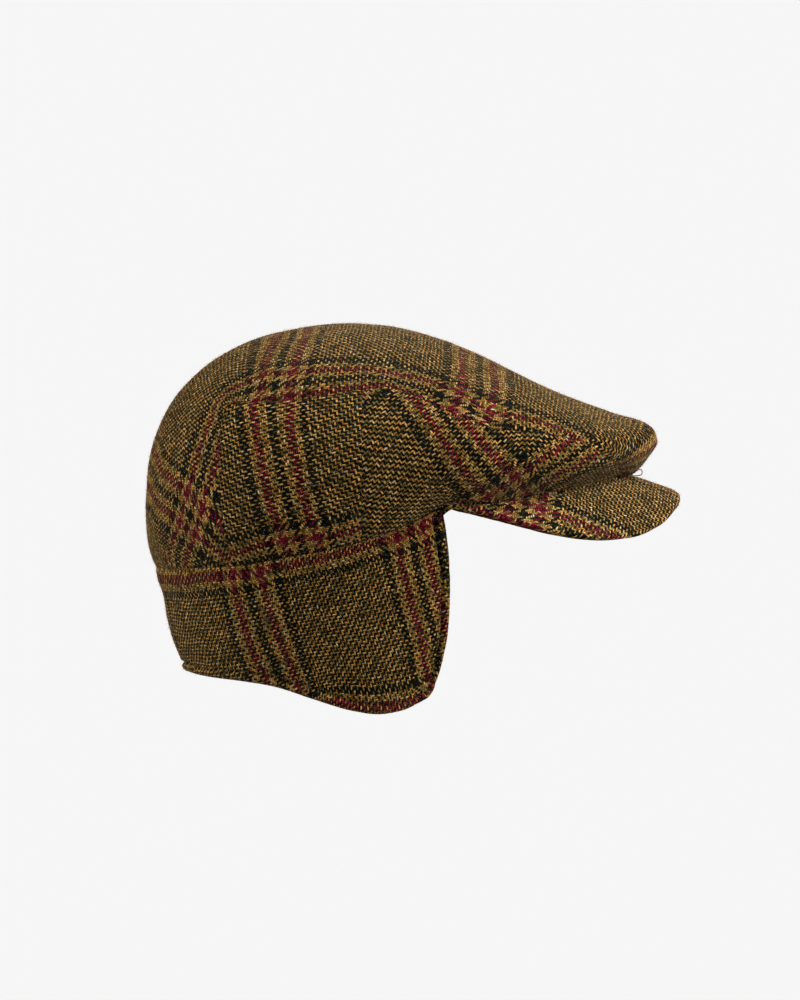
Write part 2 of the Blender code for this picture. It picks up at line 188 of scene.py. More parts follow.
crest_front = smooth_table(CREST_FRONT)
wide_line = smooth_table(WIDE_LINE)
band_seam = smooth_table(BAND_SEAM)
peak_centre = smooth_table(PEAK_LINE, 1)
peak_rim = smooth_table(PEAK_LINE, 2)
edge_on_peak = smooth_table([(y, half * half) for y, half in EDGE_ON_PEAK])
nose_under = smooth_table(NOSE_UNDER)
oval_length = smooth_table(BAND_OVAL, 1)
oval_width = smooth_table(BAND_OVAL, 2)
panel_seam = smooth_path(PANEL_SEAM)
hem_height = smooth_table(HEM)
front_path = smooth_path(FLAP_FRONT)


def crest(y):
    """Height of the crown's centre line."""
    if y < CREST_Y:
        return crest_front(y)
    share = min((y - CREST_Y) / (CROWN_BACK_Y - CREST_Y), 1.0)
    return BACK_WIDE_Z + (CROWN_TOP_Z - BACK_WIDE_Z) * (1 - share**2.3) ** (1 / 2.3)


def half_width(y):
    """Half the crown's width at y, where it is widest: an egg, blunt at the nose."""
    if y > 0:
        return CROWN_HALF_WIDTH * max(1 - (y / CROWN_BACK_Y) ** 2.1, 0.0) ** (1 / 2.1)
    return CROWN_HALF_WIDTH * max(1 - (y / CROWN_NOSE_Y) ** 2.8, 0.0) ** (1 / 2.2)


def rim_half_width(y):
    """Half the peak's width at y."""
    share = min(max((PEAK_CENTRE_Y - y) / PEAK_REACH, 0.0), 1.0)
    return PEAK_HALF_WIDTH * (1 - share**PEAK_SQUARENESS) ** (1 / PEAK_SQUARENESS)


def peak_top(x, y):
    """Height of the peak's upper face: an arch from the rim on one side to the other."""
    y = min(y, -45.0)
    wide = max(rim_half_width(y), 1e-6)
    drop = peak_centre(y) - peak_rim(y)
    return peak_centre(y) - drop * min(abs(x) / wide, 1.0) ** PEAK_ARCH


def edge_square(y):
    """Squared half width of the crown's lower edge: the head's oval behind the temple,
    the line where it lies on the peak before it. Below zero behind the oval."""
    if y > TEMPLE_Y:
        return HEAD_HALF_WIDTH**2 * (1 - (y / HEAD_HALF_LENGTH) ** 2)
    return edge_on_peak(y)


def edge_height(y):
    """Height of the crown's lower edge."""
    if y > PEAK_CENTRE_Y + 0.5:
        return band_seam(y)
    if y < CROWN_LIP_Y:
        return nose_under(y)
    tuck = 1.3 * max(1 - (PEAK_CENTRE_Y - y) / 16.0, 0.0) ** 2    # where it runs out over the temple
    return peak_top(math.sqrt(max(edge_square(y), 0.0)), y) + SEAM_GAP - tuck


def crown_square(y, z):
    """Squared half width of the crown at a point of its side view, below zero outside."""
    wide, level = half_width(y), wide_line(y)
    if z >= level:
        rise = max(crest(y) - level, 1e-6)
        share = (z - level) / rise
        if share > 1:
            return wide * wide * (1 - share) - 1e-3
        return (wide * max(1 - share**2.2, 0.0) ** (1 / 2.2)) ** 2
    share = (level - z) / max(level - edge_height(y), 1e-6)
    return wide * wide - (wide * wide - edge_square(y)) * share * share


def crown_point(y, z):
    return np.array([math.sqrt(max(crown_square(y, z), 0.0)), y, z])


def outline_from(y, z, degrees):
    """Where a ray in the side view, from a point inside the crown, leaves its outline."""
    dy, dz = math.cos(math.radians(degrees)), math.sin(math.radians(degrees))
    low, high = 0.0, 60.0
    for _ in range(50):
        mid = (low + high) / 2
        if crown_square(y + dy * mid, z + dz * mid) > 0:
            low = mid
        else:
            high = mid
    return y + dy * low, z + dz * low


# ---- surfaces: each is a net of points over two lists of shares, 0 to 1 -------
def seam_part(start, stop):
    """The panel seam between two shares of its length, as a function of 0..1."""
    return lambda t: panel_seam(start + (stop - start) * t)[:2]


def share_at(y, z):
    """The share of the panel seam's length nearest a point of the side view."""
    shares = np.linspace(0, 1, 2001)
    return min(shares, key=lambda s: (panel_seam(s)[0] - y) ** 2 + (panel_seam(s)[1] - z) ** 2)


BACK_SHARE = share_at(CORNER_BACK_Y, CORNER_BACK_Z)
UPRIGHT_SHARE = share_at(UPRIGHT_SEAM_Y, 80.0)
FRONT_SHARE = share_at(CORNER_FRONT_Y, CORNER_FRONT_Z)


def top_row(station, across):
    """One row of the centre panel, from the centre line out to the panel seam."""
    y, z, degrees = panel_seam(station)
    cy, cz = outline_from(y, z, degrees)
    to_band = max(1 - station / 0.04, 0.0) ** 2
    to_lip = max(1 - (1 - station) / 0.04, 0.0) ** 2
    row = []
    for t in across:
        share = t * t
        point = crown_point(cy + (y - cy) * share, cz + (z - cz) * share)
        for near, centre, side in ((to_band, HEAD_HALF_LENGTH, PANEL_SEAM[0][0]),
                                   (to_lip, CROWN_LIP_Y, PANEL_SEAM[-1][0])):
            if near > 0:
                edge_y = centre + (side - centre) * share
                edge = np.array([math.sqrt(max(edge_square(edge_y), 0.0)), edge_y, edge_height(edge_y)])
                point = point + (edge - point) * near
        if t == 0:
            point[0] = 0.0
        row.append(point)
    return row


STATIONS = np.linspace(0, 1, 301)
TOP_RUN = np.linalg.norm(np.diff([top_row(k, (0.0, 0.55, 1.0)) for k in STATIONS], axis=0), axis=-1).cumsum(axis=0)
TOP_RUN = np.concatenate([[0.0], (TOP_RUN / TOP_RUN[-1]).mean(axis=1)])   # how far along each station is


def top_net(along, across):
    """Half of the centre panel, from the band forward to the peak and from the centre
    line out to the panel seam, in rows evenly far apart."""
    return np.array([top_row(k, across) for k in np.interp(along, TOP_RUN, STATIONS)])


def patch(bottom, top, back, front, along, up, place):
    """A four-sided piece blended from its edges in a flat map, then placed in space."""
    net = []
    for s in along:
        low, high = bottom(s), top(s)
        row = []
        for t in up:
            flat = (
                (1 - t) * low + t * high + (1 - s) * back(t) + s * front(t)
                - (1 - s) * (1 - t) * bottom(0.0) - s * (1 - t) * bottom(1.0)
                - (1 - s) * t * top(0.0) - s * t * top(1.0)
            )
            row.append(place(*flat))
        net.append(row)
    return np.array(net)


def remembered(read):
    """The same function of one number, which keeps what it has worked out."""
    known = {}

    def quick(t):
        if t not in known:
            known[t] = read(t)
        return known[t]

    return quick


def lower_edge(y_back, y_front):
    def read(t):
        y = y_back + (y_front - y_back) * t
        return np.array([y, edge_height(y)])
    return remembered(read)


def straight(a, b):
    return lambda t: a + (b - a) * t


def side_rear_net(along, up):
    gap = SEAM_GAP
    y_back = PANEL_SEAM[0][0] - gap
    y_front = UPRIGHT_SEAM_Y + gap / 2
    bottom = lower_edge(y_back, y_front)
    top_raw = seam_part(BACK_SHARE, UPRIGHT_SHARE)

    @remembered
    def top(t):
        return top_raw(t) + np.array([gap * (1.5 * t - 1.0), -gap])

    back_raw = seam_part(0.0, BACK_SHARE)
    mend_low = bottom(0.0) - (back_raw(0.0) - [gap, 0])
    mend_high = top(0.0) - (back_raw(1.0) - [gap, 0])

    @remembered
    def back(t):
        return back_raw(t) - np.array([gap, 0.0]) + mend_low * (1 - t) + mend_high * t

    front = straight(bottom(1.0), top(1.0))
    return patch(bottom, top, back, front, along, up, crown_point)


def side_front_net(along, up):
    gap = SEAM_GAP
    y_back = UPRIGHT_SEAM_Y - gap / 2
    y_front = PANEL_SEAM[-1][0] + gap
    bottom = lower_edge(y_back, y_front)
    top_raw = seam_part(UPRIGHT_SHARE, FRONT_SHARE)

    @remembered
    def top(t):
        return top_raw(t) + np.array([gap * (1.5 * t - 0.5), -gap])

    front_raw = seam_part(1.0, FRONT_SHARE)
    mend_low = bottom(1.0) - (front_raw(0.0) + [gap, 0])
    mend_high = top(1.0) - (front_raw(1.0) + [gap, 0])

    @remembered
    def front(t):
        return front_raw(t) + np.array([gap, 0.0]) + mend_low * (1 - t) + mend_high * t

    back = straight(bottom(0.0), top(0.0))
    return patch(bottom, top, back, front, along, up, crown_point)


def band_place(turn, z):
    """A point of the band: turn is the angle round the head from the middle of the neck."""
    return np.array([oval_width(z) * math.sin(turn), oval_length(z) * math.cos(turn), z])


def turn_of(y, z):
    return math.acos(min(max(y / oval_length(z), -1.0), 1.0))


def band_net(along, up):
    """Half of the band: from the middle of the neck round to the front of the flap."""
    last_turn = turn_of(*FLAP_FRONT[0])
    last_low = turn_of(*HEM[-1])

    @remembered
    def top(s):
        turn = last_turn * s
        z = edge_height(HEAD_HALF_LENGTH * math.cos(turn)) - SEAM_GAP
        return np.array([turn, z])

    @remembered
    def bottom(s):
        turn = last_low * s
        y = HEM[0][0]
        for _ in range(20):
            y = oval_length(hem_height(y)) * math.cos(turn)
        return np.array([turn, hem_height(y)])

    first, last = front_path(1.0), front_path(0.0)
    mend_low = bottom(1.0) - np.array([turn_of(*first), first[1]])
    mend_high = top(1.0) - np.array([turn_of(*last), last[1]])

    def back(t):
        return bottom(0.0) * (1 - t) + top(0.0) * t

    @remembered
    def front(t):
        y, z = front_path(1 - t)
        return np.array([turn_of(y, z), z]) + mend_low * (1 - t) + mend_high * t

    net = patch(bottom, top, back, front, along, up, band_place)
    net[np.asarray(along) == 0, :, 0] = 0.0
    return net


def peak_net(along, across):
    """Half of the peak's upper face: from its middle out to the temple, rear edge to rim."""
    last = math.acos(PEAK_CENTRE_Y / -HEAD_HALF_LENGTH)
    net = []
    for a in along:
        rear = np.array([HEAD_HALF_WIDTH * math.sin(last * a), -HEAD_HALF_LENGTH * math.cos(last * a)])
        rim_turn = math.pi / 2 * a
        power = 2 / PEAK_SQUARENESS
        rim = np.array([
            PEAK_HALF_WIDTH * abs(math.sin(rim_turn)) ** power,
            PEAK_CENTRE_Y - PEAK_REACH * abs(math.cos(rim_turn)) ** power,
        ])
        to_temple = 4.2 * a**14
        row = []
        for b in across:
            x, y = rear + (rim - rear) * b
            row.append(np.array([x if a else 0.0, y + to_temple, peak_top(x, y)]))
        net.append(row)
    return np.array(net)


# ---- how the cloth lies ---------------------------------------------------------
# The tweed's threads are counted: u and v are numbers of threads, v = 0 is the middle
# of a pair of red stripes, and pairs come every REPEAT_U and REPEAT_V threads. On the
# crown and the peak u is 0 on the centre line, and v grows to the back; on the band u is 0
# at the middle of the neck and v grows upward. Rows give where a stripe runs in the
# view from the wearer's right, 3 degrees above the level: y, and the height seen there.
THREAD = 0.96                # mm from one thread to the next
REPEAT_U, REPEAT_V = 90, 98
VIEW_FAR = 12000.0           # mm from the camera to the cap's middle
VIEW_LIFT = math.radians(3)
AIM_Y, AIM_Z = -25.0, 20.0
STRIPES = {  # panel: (along which count, its value, ((y, seen height), ...))
    "crown_top": (
        ("u", -82, ((63.5, 72.5), (43.5, 82.5), (11, 85.5), (-23, 82.5), (-46, 77),
            (-68.5, 64.5), (-91.5, 60), (-111.5, 53))),
        ("u", -82, ((69, 60), (74, 48.5), (77.5, 35), (81.5, 24), (85.5, 8.5), (90, -8.5))),
        ("u", -98, ((60.5, 67.5), (47.5, 69.5), (15, 74), (3.5, 76), (-19, 78), (-30.5, 74),
            (-53.5, 64.5), (-65, 59))),
        ("u", -98, ((63.5, 50.5), (67.5, 39), (71, 27.5), (74, 18), (77.5, 4), (82.5, -8.5))),
        ("v", 8, ((35, 103.5), (39, 96), (43.5, 82.5), (47.5, 69.5))),
        ("v", -8, ((21.5, 104.5), (25.5, 94), (29.5, 81), (31, 71.5))),
        ("v", 90, ((98.5, 44.5), (95, 35), (89, 29.5), (81.5, 23), (74, 16), (66.5, 9.5),
            (59.5, 3))),
        ("v", 106, ((100.5, 25.5), (96, 18), (85.5, 8.5), (77.5, 2), (70, -3), (60.5, -9.5))),
        ("v", -90, ((-57, 94), (-57, 84.5), (-55.5, 75), (-54.5, 70.5))),
        ("v", -106, ((-71.5, 86.5), (-72.5, 77), (-70.5, 64.5))),
        ("v", -137, ((-101, 54.5), (-102, 62.5), (-103, 70.5))),
        ("v", -170, ((-132.5, 44.5), (-135, 55), (-137, 60))),
    ),
    "side_rear": (
        ("v", 8, ((48.5, 65.5), (46.5, 52.5), (43.5, 35), (39.5, 18), (34, 3))),
        ("v", -8, ((30, 65.5), (29.5, 52.5), (26.5, 35), (22.5, 18), (17, 3))),
        ("u", -172, ((58.5, -6.5), (47.5, -3.5), (34, -1), (17, 1), (3.5, 3), (-6, 6))),
    ),
    "side_front": (
        ("v", -90, ((-36.5, 65.5), (-44, 54), (-53.5, 39), (-61, 29.5), (-68.5, 22))),
        ("v", -106, ((-53.5, 65.5), (-61, 56), (-70.5, 44.5), (-81, 33.5))),
        ("u", -172, ((-113.5, 52.5), (-104.5, 44.5), (-91.5, 37), (-83, 31.5), (-69.5, 22))),
        ("u", -188, ((-125.5, 47.5), (-118, 41), (-104.5, 33.5), (-94, 25))),
    ),
    "flap_band": (
        ("u", 82, ((58.5, -18), (56, -31.5), (51, -48.5), (45.5, -63.5), (41.5, -70))),
        ("u", 98, ((45.5, -16), (40.5, -35), (34.5, -51), (30, -63), (26, -72))),
        ("u", 172, ((-24, 0), (-27.5, -18), (-31.5, -35), (-36.5, -52), (-40, -70))),
        ("u", 188, ((-36.5, 6), (-39, -8.5), (-43, -23.5), (-46.5, -37), (-47.5, -46.5))),
        ("v", -8, ((95, -19), (76, -19), (45.5, -16), (30, -12.5), (15, -9.5), (-4, -4.5),
            (-34.5, 6), (-42, 10.5))),
        ("v", -90, ((9.5, -80.5), (-8, -83.5), (-23, -83.5), (-36.5, -79))),
    ),
    "peak": (
        ("u", -82, ((-98, 14.5), (-108, 11), (-118, 7.5), (-128, 3.5), (-133, 2))),
        ("u", -98, ((-61.5, 16), (-73, 12), (-91.5, 7))),
        ("v", 8, ((-80.5, 21), (-79, 15), (-77.5, 12))),
        ("v", -8, ((-96.5, 21), (-95.5, 16), (-94.5, 10))),
        ("v", -38, ((-125, 20), (-125, 12.5), (-125, 5))),
    ),
}


def seen_from_right(points):
    """Side-view coordinates (y, seen height) of points in mm."""
    x, y, z = points[..., 0], points[..., 1] - AIM_Y, points[..., 2] - AIM_Z
    depth = VIEW_FAR + x * math.cos(VIEW_LIFT) - z * math.sin(VIEW_LIFT)
    up = x * math.sin(VIEW_LIFT) + z * math.cos(VIEW_LIFT)
    return np.stack([AIM_Y + y * VIEW_FAR / depth, AIM_Z + up * VIEW_FAR / depth], -1)


def blend_weights(share, count):
    """For shares 0..1 of an even row of `count` points, the four neighbours and their
    Catmull-Rom weights."""
    at = np.clip(np.asarray(share, float), 0, 1) * (count - 1)
    cell = np.clip(np.floor(at).astype(int), 0, count - 2)
    t = at - cell
    weights = np.stack([
        -0.5 * t + t**2 - 0.5 * t**3, 1 - 2.5 * t**2 + 1.5 * t**3,
        0.5 * t + 2 * t**2 - 1.5 * t**3, -0.5 * t**2 + 0.5 * t**3,
    ], -1)
    matrix = np.zeros((len(at), count))
    rows = np.arange(len(at))
    for k in range(4):
        index = cell + k - 1
        inside = (index >= 0) & (index < count)
        np.add.at(matrix, (rows[inside], index[inside]), weights[inside, k])
        # past an end the row goes on in a straight line
        low, high = index < 0, index >= count
        np.add.at(matrix, (rows[low], 0), 2 * weights[low, k])
        np.add.at(matrix, (rows[low], 1), -weights[low, k])
        np.add.at(matrix, (rows[high], count - 1), 2 * weights[high, k])
        np.add.at(matrix, (rows[high], count - 2), -weights[high, k])
    return matrix


def find_share(seen, faces_viewer, target):
    """The shares on a net at which it is seen at target: nearest point, then a step."""
    n, m = seen.shape[:2]
    far = ((seen - target) ** 2).sum(-1) + np.where(faces_viewer, 0.0, 1e6)
    i, j = np.unravel_index(int(far.argmin()), far.shape)
    i0, i1, j0, j1 = max(i - 1, 0), min(i + 1, n - 1), max(j - 1, 0), min(j + 1, m - 1)
    jac = np.stack([(seen[i1, j] - seen[i0, j]) / (i1 - i0), (seen[i, j1] - seen[i, j0]) / (j1 - j0)], -1)
    step = np.linalg.lstsq(jac, target - seen[i, j], rcond=0.05)[0]
    step = np.clip(step, -1.0, 1.0)
    return min(max((i + step[0]) / (n - 1), 0), 1), min(max((j + step[1]) / (m - 1), 0), 1)


def lay_cloth(panel, net_of, count, outward, v_way, on_centre):
    """Cloth coordinates (u, v) on an even net of count points over a panel of the right
    half: as near to unstretched as its stripes and its centre line allow."""
    n, m = count
    coarse = net_of(np.linspace(0, 1, n), np.linspace(0, 1, m))
    fine = net_of(np.linspace(0, 1, 4 * n - 3), np.linspace(0, 1, 4 * m - 3))
    for net in (coarse, fine):
        net[..., 0] *= -1
    number = np.arange(n * m).reshape(n, m)

    def normals(net):
        across = np.cross(np.gradient(net, axis=0), np.gradient(net, axis=1))
        across *= np.sign((across * (net - outward)).sum())
        return across / np.maximum(np.linalg.norm(across, axis=-1, keepdims=True), 1e-9)

    # the corners of every cell, each with the two sides that leave it
    corners = []
    for di, dj, si, sj in ((0, 0, 1, 1), (1, 0, -1, 1), (0, 1, 1, -1), (1, 1, -1, -1)):
        base = number[di:n - 1 + di, dj:m - 1 + dj].ravel()
        one = number[di + si if di + si >= 0 else 0:, :][: n - 1, dj:m - 1 + dj].ravel()
        two = number[di:n - 1 + di, dj + sj if dj + sj >= 0 else 0:][:, : m - 1].ravel()
        corners.append(np.stack([base, one, two], -1))
    corners = np.concatenate(corners)
    flat = coarse.reshape(-1, 3)
    e1, e2 = flat[corners[:, 1]] - flat[corners[:, 0]], flat[corners[:, 2]] - flat[corners[:, 0]]
    good = (np.linalg.norm(e1, axis=1) > 0.3) & (np.linalg.norm(e2, axis=1) > 0.3)
    corners, e1, e2 = corners[good], e1[good], e2[good]
    normal = normals(coarse).reshape(-1, 3)[corners[:, 0]]
    v_hat = np.asarray(v_way(coarse)).reshape(-1, 3)[corners[:, 0]]
    v_hat = v_hat - (v_hat * normal).sum(-1, keepdims=True) * normal
    v_hat /= np.linalg.norm(v_hat, axis=-1, keepdims=True)
    u_hat = np.cross(v_hat, normal)
    q1 = np.stack([(e1 * u_hat).sum(-1), (e1 * v_hat).sum(-1)], -1) / THREAD
    q2 = np.stack([(e2 * u_hat).sum(-1), (e2 * v_hat).sum(-1)], -1) / THREAD

    # the rows of the least-squares system that don't change
    sides = np.concatenate([corners[:, :2], corners[:, [0, 2]]])
    length = np.concatenate([np.linalg.norm(q1, axis=1), np.linalg.norm(q2, axis=1)])
    weight = 1.0 / np.maximum(length, 2.0)
    settled = np.zeros((n * m, n * m))
    for a, b, sign in ((0, 0, 1), (1, 1, 1), (0, 1, -1), (1, 0, -1)):
        np.add.at(settled, (sides[:, a], sides[:, b]), sign * weight**2)
    for axis in (0, 1):  # and it bends gently: small second differences
        low, mid, high = (np.take(number, range(k, number.shape[axis] - 2 + k), axis).ravel() for k in range(3))
        for a, wa in ((low, 0.12), (mid, -0.24), (high, 0.12)):
            for b, wb in ((low, 0.12), (mid, -0.24), (high, 0.12)):
                np.add.at(settled, (a, b), wa * wb)
    marks = {"u": [], "v": []}
    seen = seen_from_right(fine)
    faces_viewer = normals(fine)[..., 0] < -0.02
    for which, value, line in STRIPES[panel]:
        for target in line:
            s, t = find_share(seen, faces_viewer, np.array(target, float))
            w = np.outer(blend_weights([s], n)[0], blend_weights([t], m)[0]).ravel()
            marks[which].append((w, value))
    if on_centre:
        for i in range(n):
            row = np.zeros(n * m)
            row[number[i, 0] if on_centre == "t" else number[0, min(i, m - 1)]] = 4.0
            marks["u"].append((row, 0.0))
        for i in range(n if on_centre == "t" else m):  # the other half is its mirror image: no kink
            for near, far, strength in ((1, 2, 2.2), (2, 4, 2.0), (3, 6, 1.5), (4, 8, 1.0)):
                row = np.zeros(n * m)
                for k, share in ((0, 3.0), (near, -4.0), (far, 1.0)):
                    row[number[i, k] if on_centre == "t" else number[k, i]] = share * strength
                marks["v"].append((row, 0.0))
    turn = np.zeros(len(corners))
    uv = None
    solved = {}
    for which in "uv":
        marked = np.array([w for w, _ in marks[which]])
        values = np.array([value for _, value in marks[which]], float)
        strength = np.where(values != 0, 1.6, 1.0)[:, None]
        marked = marked * strength
        solved[which] = (np.linalg.inv(settled + marked.T @ marked + 1e-9 * np.eye(n * m)),
                         marked.T @ (values * strength[:, 0]))
    for _ in range(60):
        cos, sin = np.cos(turn)[:, None], np.sin(turn)[:, None]
        r1 = np.concatenate([cos * q1[:, :1] - sin * q1[:, 1:], sin * q1[:, :1] + cos * q1[:, 1:]], 1)
        r2 = np.concatenate([cos * q2[:, :1] - sin * q2[:, 1:], sin * q2[:, :1] + cos * q2[:, 1:]], 1)
        wanted = np.concatenate([r1, r2]) * weight[:, None] ** 2
        pull = [np.bincount(sides[:, 1], wanted[:, k], n * m) - np.bincount(sides[:, 0], wanted[:, k], n * m)
                for k in range(2)]
        uv = np.stack([solved[which][0] @ (pull[k] + solved[which][1]) for k, which in enumerate("uv")], -1)
        d1 = uv[corners[:, 1]] - uv[corners[:, 0]]
        d2 = uv[corners[:, 2]] - uv[corners[:, 0]]
        a = (d1 * q1).sum(-1) + (d2 * q2).sum(-1)
        b = (d1[:, 1] * q1[:, 0] - d1[:, 0] * q1[:, 1]) + (d2[:, 1] * q2[:, 0] - d2[:, 0] * q2[:, 1])
        turn = np.arctan2(b, a)
    gap = {which: np.array([w @ uv[:, k] - value for w, value in marks[which]])
           for k, which in enumerate("uv")}
    size = np.linalg.norm(np.concatenate([d1, d2]), axis=1) / np.maximum(length, 1e-6)
    print(f"cloth on {panel}: stripes off by {np.abs(gap['u']).max():.1f} u, {np.abs(gap['v']).max():.1f} v threads; "
          f"stretch {np.percentile(size, 2):.2f} to {np.percentile(size, 98):.2f}")
    return uv.reshape(n, m, 2)


def cloth_at(laid, along, across):
    a, b = blend_weights(along, laid.shape[0]), blend_weights(across, laid.shape[1])
    return np.einsum("ik,kld,jl->ijd", a, laid, b)


# ---- materials --------------------------------------------------------------------
def linear(red, green, blue):
    """A display colour 0..255 as the linear colour the shader wants."""
    return tuple((c / 255 / 12.92) if c <= 10 else ((c / 255 + 0.055) / 1.055) ** 2.4
                 for c in (red, green, blue)) + (1.0,)


class Wires:
    """Short names for the nodes that a material is built from."""

    def __init__(self, made):
        self.tree = made.node_tree
        self.nodes = made.node_tree.nodes
        self.links = made.node_tree.links

    def put(self, socket, value):
        if isinstance(value, (int, float)):
            socket.default_value = value
        elif isinstance(value, tuple):
            socket.default_value = value
        else:
            self.links.new(value, socket)

    def math(self, operation, a, b=None, c=None, clamp=False):
        node = self.nodes.new("ShaderNodeMath")
        node.operation = operation
        node.use_clamp = clamp
        for socket, value in zip(node.inputs, (a, b, c)):
            if value is not None:
                self.put(socket, value)
        return node.outputs[0]

    def pick(self, share, a, b):
        """a where share is 0, b where it is 1."""
        node = self.nodes.new("ShaderNodeMix")
        node.data_type = "FLOAT"
        self.put(node.inputs["Factor"], share)
        self.put(node.inputs[2], a)
        self.put(node.inputs[3], b)
        return node.outputs[0]

    def colour_mix(self, share, a, b, kind="MIX"):
        node = self.nodes.new("ShaderNodeMix")
        node.data_type = "RGBA"
        node.blend_type = kind
        self.put(node.inputs["Factor"], share)
        self.put(node.inputs[6], a)
        self.put(node.inputs[7], b)
        return node.outputs[2]

    def join(self, x, y, z=0.0):
        node = self.nodes.new("ShaderNodeCombineXYZ")
        for socket, value in zip(node.inputs, (x, y, z)):
            self.put(socket, value)
        return node.outputs[0]

    def split(self, vector):
        node = self.nodes.new("ShaderNodeSeparateXYZ")
        self.put(node.inputs[0], vector)
        return node.outputs

    def noise(self, vector, scale, detail=2.0, colour=False, dimensions="2D"):
        node = self.nodes.new("ShaderNodeTexNoise")
        node.noise_dimensions = dimensions
        self.put(node.inputs["Vector"], vector)
        node.inputs["Scale"].default_value = scale
        node.inputs["Detail"].default_value = detail
        return node.outputs["Color" if colour else "Fac"]

    def chance(self, vector):
        node = self.nodes.new("ShaderNodeTexWhiteNoise")
        node.noise_dimensions = "3D"
        self.put(node.inputs["Vector"], vector)
        return node.outputs["Value"], node.outputs["Color"]

    def ramp(self, value, stops, steps=False):
        node = self.nodes.new("ShaderNodeValToRGB")
        node.color_ramp.interpolation = "CONSTANT" if steps else "LINEAR"
        elements = node.color_ramp.elements
        elements[0].position, elements[0].color = stops[0]
        elements[1].position, elements[1].color = stops[1]
        for position, colour in stops[2:]:
            elements.new(position).color = colour
        self.put(node.inputs[0], value)
        return node.outputs[0]


GOLD_YARN = (  # the light wool, blended of several dyed fibres
    (0.00, linear(94, 72, 32)), (0.18, linear(124, 110, 56)), (0.34, linear(170, 114, 46)),
    (0.50, linear(162, 130, 66)), (0.64, linear(188, 137, 68)), (0.80, linear(178, 152, 100)),
    (0.93, linear(188, 164, 116)), (1.00, linear(128, 72, 38)),
)
DARK_YARN = (
    (0.00, linear(9, 10, 8)), (0.30, linear(22, 30, 20)), (0.50, linear(15, 22, 25)),
    (0.70, linear(32, 24, 13)), (0.88, linear(13, 14, 12)), (1.00, linear(52, 47, 28)),
)
RED_YARN = (
    (0.00, linear(76, 14, 23)), (0.40, linear(106, 20, 35)), (0.75, linear(124, 32, 45)),
    (1.00, linear(142, 62, 60)),
)
DARK, GOLD, RED, GROUND = (1, 0, 0, 1), (0, 1, 0, 1), (0, 0, 1, 1), (0, 0, 0, 1)
STRIPE_ORDER = (  # counts from the middle of a pair of red stripes
    (0 / 50, DARK), (2 / 50, GOLD), (6 / 50, RED), (10 / 50, GOLD), (14 / 50, DARK), (18 / 50, GROUND),
)


